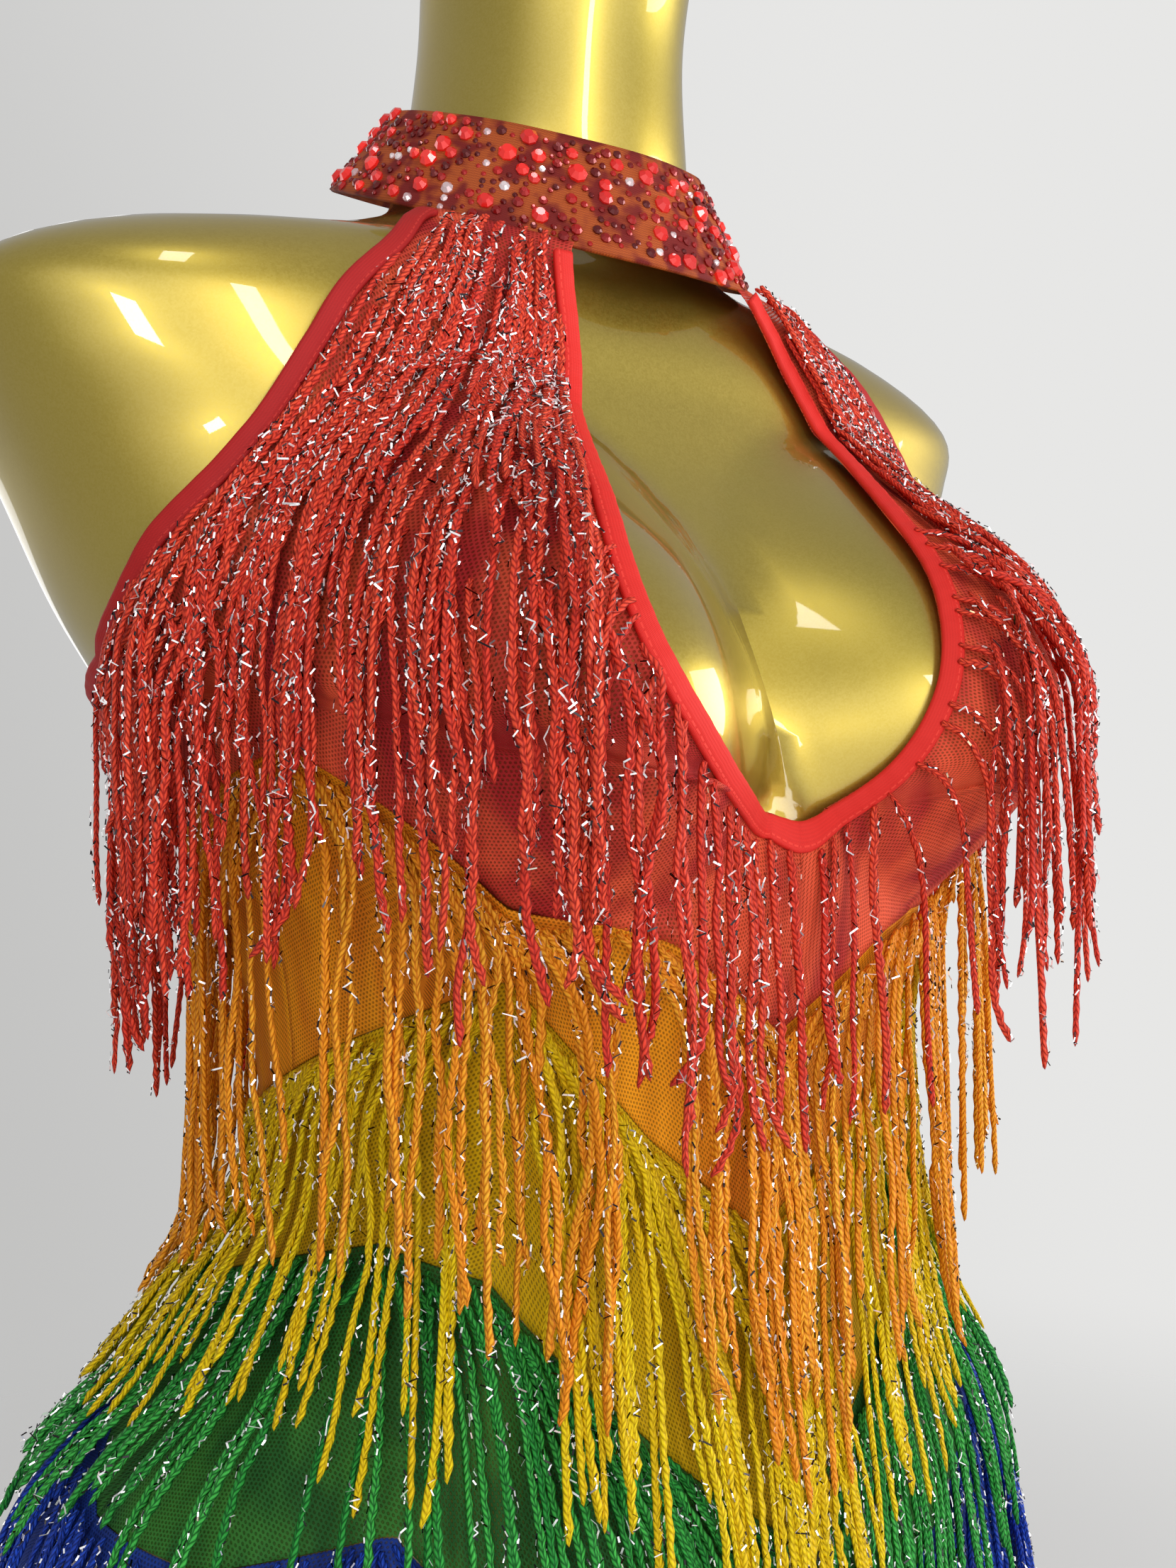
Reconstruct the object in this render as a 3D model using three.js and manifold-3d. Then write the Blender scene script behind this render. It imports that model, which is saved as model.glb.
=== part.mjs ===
// A halter-neck stage bodysuit of stretch net with tiers of long fringe, worn by a
// limbless torso display form that stands on its two cut thighs.
// Millimetres, +Z up, the front of the figure faces -Y and its left side is +X.
import * as THREE from 'three';
import { mergeVertices } from 'three/addons/utils/BufferGeometryUtils.js';
import Module from 'manifold-3d';

const wasm = await Module();
wasm.setup();

// ---------------------------------------------------------------- driving sizes
const WAIST_Z = 310;            // the waist's height above the foot of the form
const FORM_SET_BACK = 1.6;      // centres the whole object over its origin
const NET = 1.2;                // wall of a net panel
const NET_LIFT = 2.4;           // from the form to the inside of the net
const SEAM = 0.4;               // half the upright gap between two sewn panels
const SIDE_GAP = 0.12;          // half the gap at a side seam, degrees round the body
const BINDING_WIDTH = 6.5;
const BINDING_WALL = 1.2;
const BINDING_LIFT = NET_LIFT + NET + 1.7;
const LEG_BINDING_LIFT = NET_LIFT + NET + 1.25;
const FRINGE_LENGTH = 122;
const FRINGE_WALL = 1.9;        // the depth that one row of strands fills
const FRINGE_LIFT = NET_LIFT + NET + 0.9;
const FLARE_LENGTH = 60;        // a row has risen over the next one this far below its root
const ROOT_DROP = 3;            // a row is sewn this far under its seam

// The form's sections, as heights above the waist; square is 2 for a plain ellipse and more
// for a boxier one.
const FORM_SECTIONS = [
  { z: -150, halfWidth: 169, centreY: 11, halfDepth: 115, square: 2.25 },
  { z: -120, halfWidth: 165, centreY: 11, halfDepth: 111, square: 2.25 },
  { z: -85, halfWidth: 154, centreY: 9, halfDepth: 105, square: 2.25 },
  { z: -42, halfWidth: 117, centreY: 1, halfDepth: 90, square: 2.25 },
  { z: 0, halfWidth: 96, centreY: -7, halfDepth: 81, square: 2.25 },
  { z: 42, halfWidth: 97, centreY: -10, halfDepth: 84, square: 2.25 },
  { z: 85, halfWidth: 105, centreY: -11, halfDepth: 95, square: 2.25 },
  { z: 127, halfWidth: 127, centreY: -1, halfDepth: 102, square: 2.25 },
  { z: 170, halfWidth: 152, centreY: 12, halfDepth: 98, square: 2.25 },
  { z: 208, halfWidth: 169, centreY: 19, halfDepth: 85, square: 2.4 },
  { z: 233, halfWidth: 182, centreY: 18, halfDepth: 75, square: 2.7 },
  { z: 254, halfWidth: 186, centreY: 16, halfDepth: 68, square: 2.7 },
  { z: 271, halfWidth: 157, centreY: 14, halfDepth: 60, square: 2.3 },
  { z: 284, halfWidth: 97, centreY: 12, halfDepth: 53, square: 1.7 },
  { z: 297, halfWidth: 58, centreY: 9, halfDepth: 53, square: 1.7 },
  { z: 318, halfWidth: 47, centreY: 3, halfDepth: 49, square: 2.0 },
  { z: 356, halfWidth: 41, centreY: -2, halfDepth: 46, square: 2.1 },
  { z: 395, halfWidth: 42, centreY: -9, halfDepth: 48, square: 2.1 },
];
const HIP_Z = -150;
const CROTCH_Z = -214;
const PELVIS = { power: 2.4, rings: 7, lowestTurn: 85 };
const BUST = { x: 65, z: 147, radius: 65, above: 85, below: 64, rise: 46.5, splay: 0.18, fullness: 1.3 };
const THIGH = { x: 95, y: 8, halfWidth: 75, halfDepth: 90, top: -168, sides: 32 };
const NECK_CAP = { rounding: 9, steps: 4 };
const FORM_SIDES = 44;

// How many rings of faces the form has between two heights: more where it turns faster.
const FORM_RINGS = [
  { from: -150, to: 50, rings: 8 },
  { from: 50, to: 85, rings: 2 },
  { from: 85, to: 165, rings: 8 },
  { from: 165, to: 235, rings: 7 },
  { from: 235, to: 301, rings: 9 },
  { from: 301, to: 355, rings: 3 },
];

// Where each colour joins the next, as heights above the waist at angles round the body
// (0 is the centre front, 180 the centre back).
const SEAMS = [
  { angle: 0, redOrange: 52, orangeYellow: -6, yellowGreen: -86, greenBlue: -140 },
  { angle: 22, redOrange: 78, orangeYellow: 24, yellowGreen: -47, greenBlue: -104 },
  { angle: 45, redOrange: 90, orangeYellow: 69, yellowGreen: -11, greenBlue: -68 },
  { angle: 65, redOrange: 130, orangeYellow: 56, yellowGreen: -3, greenBlue: -78 },
  { angle: 90, redOrange: 118, orangeYellow: 41, yellowGreen: -13, greenBlue: -76 },
  { angle: 117, redOrange: 86, orangeYellow: 26, yellowGreen: -26, greenBlue: -57 },
  { angle: 180, redOrange: 92, orangeYellow: 32, yellowGreen: -22, greenBlue: -68 },
];

// The cut of the red halter fronts: their keyhole edges and armhole edges, row by row down
// from the collar; the last two rows are the centre front and the side seam. The suit sits a
// little askew on the form, so its left and its right front have angles of their own.
const HALTER_ROWS = [
  { leftKey: 11.5, rightKey: 10, keyZ: 277, leftArm: 30, rightArm: 31, armZ: 279 },
  { leftKey: 15, rightKey: 9.6, keyZ: 252, leftArm: 26, rightArm: 29.5, armZ: 261 },
  { leftKey: 19.5, rightKey: 11.5, keyZ: 225, leftArm: 35, rightArm: 37.5, armZ: 229 },
  { leftKey: 17, rightKey: 19, keyZ: 193, leftArm: 49, rightArm: 50, armZ: 203 },
  { leftKey: 14.8, rightKey: 24.4, keyZ: 165, leftArm: 63, rightArm: 63.5, armZ: 185 },
  { leftKey: 12.6, rightKey: 25.6, keyZ: 140, leftArm: 75, rightArm: 75, armZ: 171 },
  { leftKey: 9.8, rightKey: 19.6, keyZ: 120, leftArm: 89.88, rightArm: 89.88, armZ: 158 },
  { leftKey: 5, rightKey: 8, keyZ: 109, leftArm: 89.88, rightArm: 89.88, armZ: 149 },
  { leftKey: 0.2, rightKey: 0.2, keyZ: 106, leftArm: 89.88, rightArm: 89.88, armZ: 142 },
  { leftKey: 0.2, rightKey: 0.2, keyZ: 96, leftArm: 89.88, rightArm: 89.88, armZ: 134 },
  { leftKey: 0.2, rightKey: 0.2, keyZ: 52, leftArm: 89.88, rightArm: 89.88, armZ: 118 },
];
// The fronts in the mesh: rows of faces, the row where each binding ends, and how close to
// the collar the bindings start, as a share of the panel's height.
const HALTER = { rows: 30, keyholeEnd: 24, armholeEnd: 18, bindingStart: 0.02, hemPower: 4, mitre: 1.3 };

// The open back's top edge, and the leg line at the front and at the back.
const BACK_TOP = [
  { angle: 90, z: 158 },
  { angle: 113, z: 149 },
  { angle: 140, z: 130 },
  { angle: 180, z: 121 },
];
const LEG_LINE = [
  { angle: 0, z: -196 },
  { angle: 6, z: -196 },
  { angle: 30, z: -170 },
  { angle: 60, z: -140 },
  { angle: 90, z: -122 },
  { angle: 120, z: -140 },
  { angle: 150, z: -170 },
  { angle: 174, z: -196 },
  { angle: 180, z: -196 },
];
const GUSSET = { halfWidth: 15, endAngle: 46.6, steps: 12 };
const TIER_ROWS = 4;
const SEAT_ROWS = 7;
const BACK_BAND_ROWS = 3;
const COLLAR = { wall: 1.4, columns: 32, rows: 2 };
const COLLAR_RINGS = {
  top: { halfWidth: 47.5, halfDepth: 50.5, centreY: 0, z: 329.5, tilt: 20 },
  bottom: { halfWidth: 67, halfDepth: 66, centreY: 4, z: 300, tilt: 29 },
};
const COLLAR_SEAM = { keyTurn: 28, armTurn: 62, drop: 1.6, blend: 0.115, blendPower: 1.5 };

// How far each row of strands stands off over the row below it, and how the strands' lengths
// run unevenly round the hem.
const FRINGES = [
  { colour: 'orange', seam: 'redOrange', flare: 14.1 },
  { colour: 'yellow', seam: 'orangeYellow', flare: 11 },
  { colour: 'green', seam: 'yellowGreen', flare: 7.8 },
  { colour: 'blue', seam: 'greenBlue', flare: 3.7 },
];
const BACK_FLARE = 17.1;
const LENGTH_RUN = [1, 0.93, 1.05, 0.96, 1.02, 0.9, 1.04];
const FALL_STEPS = 5;
const MAX_LEVEL_PUSH = 2;       // a level push is at most this many lifts long

// The red strands that lie on the halter fronts: the shares of the panel's height where they
// start and where they leave it at its two edges.
const LAY = {
  start: 0.08, rows: 12, columns: 8, lift: FRINGE_LIFT + 1.2, margin: BINDING_WIDTH + 7,
  keyRoot: 0.53, armRoot: 0.48, spread: 0.35, flare: 9,
};

const COLOURS = {
  red: 0xd8352b, orange: 0xef8a1c, yellow: 0xe8c400, green: 0x3aa84a, blue: 0x2450c4,
  redNet: 0xa8322a, orangeNet: 0xc07010, yellowNet: 0xa88c10, greenNet: 0x2f6a35, blueNet: 0x1c3f9a,
  collar: 0xa03a2c, gold: 0xc9b23a,
};

// ---------------------------------------------------------------- the figure's surface
const RAD = Math.PI / 180;

// Smooth curve through the rows of a table: a cubic between rows, sloped by its neighbours.
function along(rows, key, column, at) {
  const last = rows.length - 1;
  let k = 0;
  while (k < last - 1 && at > rows[k + 1][key]) k += 1;
  const slope = (i) => {
    const a = rows[Math.max(i - 1, 0)];
    const b = rows[Math.min(i + 1, last)];
    return (b[column] - a[column]) / (b[key] - a[key]);
  };
  const span = rows[k + 1][key] - rows[k][key];
  const t = Math.min(Math.max((at - rows[k][key]) / span, 0), 1);
  const s = t * t * (3 - 2 * t);
  const bend = t * (1 - t) * ((1 - t) * slope(k) - t * slope(k + 1)) * span;
  return rows[k][column] * (1 - s) + rows[k + 1][column] * s + bend;
}

function section(z) {
  const at = Math.max(z, HIP_Z);
  const under = Math.min(Math.max((HIP_Z - z) / (HIP_Z - CROTCH_Z), 0), 0.999);
  const shrink = (1 - under ** PELVIS.power) ** (1 / PELVIS.power);
  return {
    halfWidth: along(FORM_SECTIONS, 'z', 'halfWidth', at) * shrink,
    centreY: along(FORM_SECTIONS, 'z', 'centreY', at),
    halfDepth: along(FORM_SECTIONS, 'z', 'halfDepth', at) * shrink,
    square: along(FORM_SECTIONS, 'z', 'square', at),
  };
}

// How far the bust stands forward at a place on the chest.
function bustRise(x, z) {
  const reach = z > BUST.z ? BUST.above : BUST.below;
  const away = ((Math.abs(x) - BUST.x) / BUST.radius) ** 2 + ((z - BUST.z) / reach) ** 2;
  return away < 1 ? BUST.rise * (1 - away) ** BUST.fullness : 0;
}

// A point of the form: an oval section, with the bust raised on its front half.
function bodyPoint(angle, z) {
  const { halfWidth, centreY, halfDepth, square } = section(z);
  const s = Math.sin(angle * RAD);
  const c = Math.cos(angle * RAD);
  const q = (Math.abs(s) ** square + Math.abs(c) ** square) ** (-1 / square);
  const x = halfWidth * s * q;
  const rise = c > 0 ? bustRise(x, z) : 0;
  return new THREE.Vector3(x + Math.sign(x) * BUST.splay * rise, centreY - halfDepth * c * q - rise, z);
}

function outward(angle, z) {
  const round = bodyPoint(angle + 0.5, z).sub(bodyPoint(angle - 0.5, z));
  const up = bodyPoint(angle, z + 0.5).sub(bodyPoint(angle, z - 0.5));
  return round.cross(up).normalize();
}

function clothPoint(angle, z, lift) {
  return bodyPoint(angle, z).addScaledVector(outward(angle, z), lift);
}

// A place's point moved out level with the floor until it clears the body by the lift.
function levelPoint(angle, z, lift) {
  const face = outward(angle, z);
  const flat = Math.max(Math.hypot(face.x, face.y), 1 / MAX_LEVEL_PUSH);
  return bodyPoint(angle, z).add(new THREE.Vector3(face.x, face.y, 0).multiplyScalar(lift / flat ** 2));
}

// The angle and height of the body under a point near it.
function placeOf(p) {
  const { halfWidth, centreY, halfDepth } = section(p.z);
  const front = p.y < centreY;
  const rise = front ? bustRise(p.x, p.z) : 0;
  const x = p.x - Math.sign(p.x) * BUST.splay * rise;
  return { angle: Math.atan2(x / halfWidth, (centreY - p.y - rise) / halfDepth) / RAD, z: p.z };
}

// ---------------------------------------------------------------- closed walls
// Two triangles for a four-sided face, split along its shorter diagonal.
function pushQuad(index, points, a, b, c, d) {
  if (points[a].distanceTo(points[c]) <= points[b].distanceTo(points[d])) index.push(a, b, c, a, c, d);
  else index.push(a, b, d, b, c, d);
}

function shellOf(points, index) {
  const geometry = new THREE.BufferGeometry();
  const numbers = points.flatMap((p) => p.toArray());
  geometry.setAttribute('position', new THREE.Float32BufferAttribute(numbers, 3));
  geometry.setIndex(index);
  return geometry;
}

// A wall between an inner and an outer net of points; column i runs round the body
// (towards the figure's left) and row j runs down.
function wall(columns, rows, closed, pointAt) {
  const points = [];
  const index = [];
  for (const side of [0, 1]) {
    for (let j = 0; j <= rows; j += 1) {
      for (let i = 0; i <= columns - (closed ? 1 : 0); i += 1) points.push(pointAt(i, j, side));
    }
  }
  const across = closed ? columns : columns + 1;
  const at = (i, j, side) => side * across * (rows + 1) + j * across + (i % across);
  const quad = (a, b, c, d) => pushQuad(index, points, a, b, c, d);
  for (let j = 0; j < rows; j += 1) {
    for (let i = 0; i < columns; i += 1) {
      quad(at(i, j, 1), at(i, j + 1, 1), at(i + 1, j + 1, 1), at(i + 1, j, 1));
      quad(at(i, j, 0), at(i + 1, j, 0), at(i + 1, j + 1, 0), at(i, j + 1, 0));
    }
  }
  for (let i = 0; i < columns; i += 1) {
    quad(at(i, 0, 0), at(i, 0, 1), at(i + 1, 0, 1), at(i + 1, 0, 0));
    quad(at(i, rows, 1), at(i, rows, 0), at(i + 1, rows, 0), at(i + 1, rows, 1));
  }
  for (let j = 0; j < rows && !closed; j += 1) {
    quad(at(0, j, 1), at(0, j, 0), at(0, j + 1, 0), at(0, j + 1, 1));
    quad(at(columns, j, 0), at(columns, j, 1), at(columns, j + 1, 1), at(columns, j + 1, 0));
  }
  return shellOf(points, index);
}

// The same piece for the figure's other side: mirrored in X, with its faces turned back out.
function mirrored(geometry) {
  const copy = geometry.clone().applyMatrix4(new THREE.Matrix4().makeScale(-1, 1, 1));
  const index = copy.getIndex().array;
  for (let k = 0; k < index.length; k += 3) [index[k], index[k + 1]] = [index[k + 1], index[k]];
  return copy;
}

const figure = new THREE.Group();
figure.position.set(0, FORM_SET_BACK, WAIST_Z);

function add(name, geometry, color, roughness = 0.8, metalness = 0) {
  geometry.computeVertexNormals();
  const mesh = new THREE.Mesh(geometry, new THREE.MeshStandardMaterial({ color, roughness, metalness }));
  mesh.name = name;
  figure.add(mesh);
}

// ---------------------------------------------------------------- the torso form
function solidOf(geometry) {
  const merged = mergeVertices(geometry, 1e-4);
  const vertProperties = new Float32Array(merged.getAttribute('position').array);
  const triVerts = new Uint32Array(merged.getIndex().array);
  return new wasm.Manifold(new wasm.Mesh({ numProp: 3, vertProperties, triVerts }));
}

function geometryOf(solid) {
  const mesh = solid.getMesh();
  const geometry = new THREE.BufferGeometry();
  geometry.setAttribute('position', new THREE.BufferAttribute(new Float32Array(mesh.vertProperties), 3));
  geometry.setIndex(Array.from(mesh.triVerts));
  return geometry;
}

// Rings of points stacked upwards and closed by a middle point at each end.
function stack(rings) {
  const sides = rings[0].length;
  const middle = (ring) => ring.reduce((sum, p) => sum.add(p), new THREE.Vector3()).divideScalar(sides);
  const points = [middle(rings[0]), ...rings.flat(), middle(rings[rings.length - 1])];
  const index = [];
  const top = points.length - 1;
  for (let i = 0; i < sides; i += 1) {
    const next = (i + 1) % sides;
    index.push(0, 1 + next, 1 + i);
    for (let j = 0; j < rings.length - 1; j += 1) {
      const a = 1 + j * sides;
      pushQuad(index, points, a + i, a + next, a + sides + next, a + sides + i);
    }
    index.push(top - sides + i, top - sides + next, top);
  }
  return shellOf(points, index);
}

function torsoForm() {
  const cap = FORM_SECTIONS[FORM_SECTIONS.length - 1];
  const ring = (z, inset) => Array.from({ length: FORM_SIDES }, (_, i) => {
    const p = bodyPoint((i * 360) / FORM_SIDES, z);
    const { centreY } = section(z);
    return new THREE.Vector3(p.x * inset, centreY + (p.y - centreY) * inset, z);
  });
  const rings = [];
  for (let k = 0; k < PELVIS.rings; k += 1) {
    const turn = PELVIS.lowestTurn * RAD * (1 - k / PELVIS.rings);
    rings.push(ring(HIP_Z - (HIP_Z - CROTCH_Z) * Math.sin(turn) ** (2 / PELVIS.power), 1));
  }
  for (const run of FORM_RINGS) {
    const step = (run.to - run.from) / run.rings;
    for (let k = 0; k < run.rings; k += 1) rings.push(ring(run.from + step * k, 1));
  }
  for (let k = 0; k <= NECK_CAP.steps; k += 1) {
    const turn = (k / NECK_CAP.steps) * 90 * RAD;
    const inset = 1 - (NECK_CAP.rounding / cap.halfWidth) * (1 - Math.cos(turn));
    rings.push(ring(cap.z - NECK_CAP.rounding * (1 - Math.sin(turn)), inset));
  }
  let form = solidOf(stack(rings));
  for (const side of [-1, 1]) {
    const oval = (z) => Array.from({ length: THIGH.sides }, (_, i) => {
      const turn = (i / THIGH.sides) * 360 * RAD;
      const x = side * THIGH.x + THIGH.halfWidth * Math.sin(turn);
      return new THREE.Vector3(x, THIGH.y - THIGH.halfDepth * Math.cos(turn), z);
    });
    form = form.add(solidOf(stack([oval(-WAIST_Z), oval(THIGH.top)])));
  }
  return geometryOf(form);
}
add('torso_form', torsoForm(), COLOURS.gold, 0.25, 0.9);

// ---------------------------------------------------------------- net panels
const FRONT_ANGLES = [0, 6, 14, 22, 33, 45, 55, 65, 77, 90];
const BACK_ANGLES = [90, 103, 117, 130, 143, 155, 167, 174, 180];

// A height at an angle, in straight runs between the rows of a table; both sides are alike.
function heightAt(rows, column, angle) {
  const a = Math.abs(angle > 180 ? angle - 360 : angle);
  let k = 0;
  while (k < rows.length - 2 && a > rows[k + 1].angle) k += 1;
  const t = (a - rows[k].angle) / (rows[k + 1].angle - rows[k].angle);
  return rows[k][column] * (1 - t) + rows[k + 1][column] * t;
}

// Columns from one side round to the other; those at the side seams stop short of them.
const frontAngles = [...FRONT_ANGLES.slice(1).reverse().map((a) => -a), ...FRONT_ANGLES];
const backAngles = [...BACK_ANGLES, ...BACK_ANGLES.slice(0, -1).reverse().map((a) => 360 - a)];
const frontColumns = frontAngles.map((a) => (Math.abs(a) === 90 ? Math.sign(a) * (90 - SIDE_GAP) : a));
const backColumns = backAngles.map((a) => (a % 180 === 90 ? a + Math.sign(180 - a) * SIDE_GAP : a));

// A panel between an upper and a lower edge, both given as heights at an angle.
function panel(angles, rows, upper, lower) {
  return wall(angles.length - 1, rows, false, (i, j, side) => {
    const top = upper(angles[i]) - SEAM;
    const low = lower(angles[i]) + SEAM;
    return clothPoint(angles[i], top + (low - top) * (j / rows), NET_LIFT + side * NET);
  });
}

const seamOf = (column) => (angle) => heightAt(SEAMS, column, angle);
const legLine = (angle) => heightAt(LEG_LINE, 'z', angle);
const backTop = (angle) => heightAt(BACK_TOP, 'z', angle);
const TIERS = [
  { colour: 'orange', upper: seamOf('redOrange'), lower: seamOf('orangeYellow'), rows: TIER_ROWS },
  { colour: 'yellow', upper: seamOf('orangeYellow'), lower: seamOf('yellowGreen'), rows: TIER_ROWS },
  { colour: 'green', upper: seamOf('yellowGreen'), lower: seamOf('greenBlue'), rows: TIER_ROWS },
  { colour: 'blue', upper: seamOf('greenBlue'), lower: legLine, rows: SEAT_ROWS },
];
for (const { colour, upper, lower, rows } of TIERS) {
  add(`${colour}_front`, panel(frontColumns, rows, upper, lower), COLOURS[`${colour}Net`]);
  add(`${colour}_back`, panel(backColumns, rows, upper, lower), COLOURS[`${colour}Net`]);
}
const redBack = panel(backColumns, BACK_BAND_ROWS, (angle) => backTop(angle) + SEAM, seamOf('redOrange'));
add('red_back', redBack, COLOURS.redNet);

// The halter fronts: rows cross the panel from the keyhole edge to the armhole edge. A front's
// pieces are all made on the figure's left, and those of the right front are then mirrored.
const SIDES = ['left', 'right'];
const onSide = (side, geometry) => (side === 'right' ? mirrored(geometry) : geometry);
const halterTable = HALTER_ROWS.map((row, k) => ({ ...row, k }));
const halterAt = (column, down) => along(halterTable, 'k', column, down * (halterTable.length - 1));

function halterPlace(side, across, down) {
  const last = HALTER_ROWS[HALTER_ROWS.length - 1];
  const angle = halterAt(`${side}Key`, down) * (1 - across) + halterAt(`${side}Arm`, down) * across;
  const straight = halterAt('keyZ', down) * (1 - across) + halterAt('armZ', down) * across;
  const lowest = last.keyZ * (1 - across) + last.armZ * across;
  const toHem = heightAt(SEAMS, 'redOrange', angle) + SEAM - lowest;
  return {
    angle: Math.min(Math.max(angle, last.leftKey), last.leftArm),
    z: straight + toHem * down ** HALTER.hemPower,
  };
}

function collarPoint(turn, down, lift) {
  const { top, bottom } = COLLAR_RINGS;
  const mix = (key) => top[key] * (1 - down) + bottom[key] * down;
  const s = Math.sin(turn * RAD);
  const c = Math.cos(turn * RAD);
  return new THREE.Vector3((mix('halfWidth') + lift) * s, mix('centreY') - (mix('halfDepth') + lift) * c,
    mix('z') - mix('tilt') * c);
}

// The top of a halter front leaves the chest to meet the lower edge of the collar.
function halterStand(side, across, down) {
  const weight = Math.max(0, 1 - down / COLLAR_SEAM.blend) ** COLLAR_SEAM.blendPower;
  const { angle, z } = halterPlace(side, across, 0);
  const turn = COLLAR_SEAM.keyTurn * (1 - across) + COLLAR_SEAM.armTurn * across;
  const edge = collarPoint(turn, 1, 0);
  edge.z -= COLLAR_SEAM.drop;
  return edge.sub(clothPoint(angle, z, NET_LIFT)).multiplyScalar(weight);
}

function halterPoint(side, across, down, lift) {
  const { angle, z } = halterPlace(side, across, down);
  return clothPoint(angle, z, lift).add(halterStand(side, across, down));
}

const halterAcross = FRONT_ANGLES.map((a) => a / 90);
for (const side of SIDES) {
  const front = wall(halterAcross.length - 1, HALTER.rows, false,
    (i, j, face) => halterPoint(side, halterAcross[i], j / HALTER.rows, NET_LIFT + face * NET));
  add(`red_front_${side}`, onSide(side, front), COLOURS.redNet);
}

const collar = wall(COLLAR.columns, COLLAR.rows, true,
  (i, j, side) => collarPoint((i * 360) / COLLAR.columns, j / COLLAR.rows, side * COLLAR.wall));
add('collar', collar, COLOURS.collar);

// The gusset follows the form's underside from front to back, between the thighs.
function undersidePoint(x, turn, lift) {
  const { centreY, halfDepth } = section(HIP_Z);
  const depth = HIP_Z - CROTCH_Z;
  const s = Math.sin(turn * RAD);
  const c = Math.cos(turn * RAD);
  const q = (Math.abs(s) ** PELVIS.power + c ** PELVIS.power) ** (-1 / PELVIS.power);
  return new THREE.Vector3(x, centreY + (halfDepth + lift) * s * q, HIP_Z - (depth + lift) * c * q);
}
const gusset = wall(2, GUSSET.steps, false, (i, j, side) => undersidePoint(
  (i - 1) * GUSSET.halfWidth, GUSSET.endAngle * ((2 * j) / GUSSET.steps - 1), NET_LIFT + side * NET));
add('gusset', gusset, COLOURS.blueNet);

// ---------------------------------------------------------------- bindings
// A strip on the cloth along a path of steps. A step on the body is a place and how far it
// stands off; its other edge lies one binding width to the side that the cloth is on. A step
// between the thighs gives its turn round the underside instead.
function binding(path, closed, clearance) {
  const count = path.length;
  const step = (k) => path[closed ? (k + count) % count : Math.min(Math.max(k, 0), count - 1)];
  const otherEdge = path.map(({ angle, z, other, under }, k) => {
    if (other || under !== undefined) return other;
    const before = step(k - 1).under === undefined ? step(k - 1) : step(k);
    const after = step(k + 1).under === undefined ? step(k + 1) : step(k);
    const onward = bodyPoint(after.angle, after.z).sub(bodyPoint(before.angle, before.z));
    const aside = onward.cross(outward(angle, z)).normalize();
    return placeOf(bodyPoint(angle, z).addScaledVector(aside, BINDING_WIDTH));
  });
  return wall(closed ? count : count - 1, 1, closed, (i, j, side) => {
    const { under, stand } = step(i);
    const lift = clearance + side * BINDING_WALL;
    if (under !== undefined) return undersidePoint(GUSSET.halfWidth - j * BINDING_WIDTH, under, lift);
    const { angle, z } = j === 0 ? step(i) : otherEdge[i % count];
    return clothPoint(angle, z, lift).add(stand ?? new THREE.Vector3());
  });
}

const halterStep = (side, across, row) => {
  const down = Math.max(row / HALTER.rows, HALTER.bindingStart);
  return { ...halterPlace(side, across, down), stand: halterStand(side, across, down) };
};
for (const side of SIDES) {
  const keyhole = Array.from({ length: HALTER.keyholeEnd + 1 }, (_, k) => halterStep(side, 0, k)).reverse();
  const [point] = keyhole;
  point.other = { angle: point.angle, z: point.z - BINDING_WIDTH * HALTER.mitre };
  add(`keyhole_binding_${side}`, onSide(side, binding(keyhole, false, BINDING_LIFT)), COLOURS.red);
}
for (const side of SIDES) {
  const armhole = [
    ...Array.from({ length: HALTER.armholeEnd }, (_, k) => halterStep(side, 1, k)),
    ...BACK_ANGLES.map((angle) => ({ angle: Math.min(angle, 180 - SIDE_GAP), z: backTop(angle) })),
  ];
  add(`armhole_binding_${side}`, onSide(side, binding(armhole, false, BINDING_LIFT)), COLOURS.red);
}

const legAngles = [...FRONT_ANGLES.slice(1, -1), ...BACK_ANGLES.slice(0, -1)].reverse();
const underTurns = Array.from({ length: GUSSET.steps - 1 }, (_, k) => (2 * (k + 1)) / GUSSET.steps - 1);
const legBinding = binding([
  ...legAngles.map((angle) => ({ angle, z: legLine(angle) })),
  ...underTurns.map((share) => ({ under: GUSSET.endAngle * share })),
], true, LEG_BINDING_LIFT);
for (const side of SIDES) add(`leg_binding_${side}`, onSide(side, legBinding), COLOURS.blue);

// ---------------------------------------------------------------- fringe
// One column of a row of strands: from its root it hangs straight down, and where the body
// swells under it, it lies on the body.
function fall(root, column, flare) {
  const points = [root];
  const length = FRINGE_LENGTH * LENGTH_RUN[column % LENGTH_RUN.length];
  for (let k = 1; k <= FALL_STEPS; k += 1) {
    const fallen = (length * k) / FALL_STEPS;
    const p = points[k - 1].clone().setZ(Math.max(root.z - fallen, HIP_Z));
    const { angle, z } = placeOf(p);
    const skin = levelPoint(angle, z, FRINGE_LIFT + flare * Math.min(1, fallen / FLARE_LENGTH));
    if (p.clone().sub(skin).dot(outward(angle, z)) < 0) p.copy(skin);
    points.push(p.setZ(root.z - fallen));
  }
  return points;
}

// The outer side of a column stands level with the inner one, away from the middle.
function fringeWall(columns, closed) {
  return wall(closed ? columns.length : columns.length - 1, columns[0].length - 1, closed, (i, j, side) => {
    const p = columns[i % columns.length][j].clone();
    const away = new THREE.Vector3(p.x, p.y - section(Math.max(p.z, HIP_Z)).centreY, 0).normalize();
    return p.addScaledVector(away, side * FRINGE_WALL);
  });
}

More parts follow.
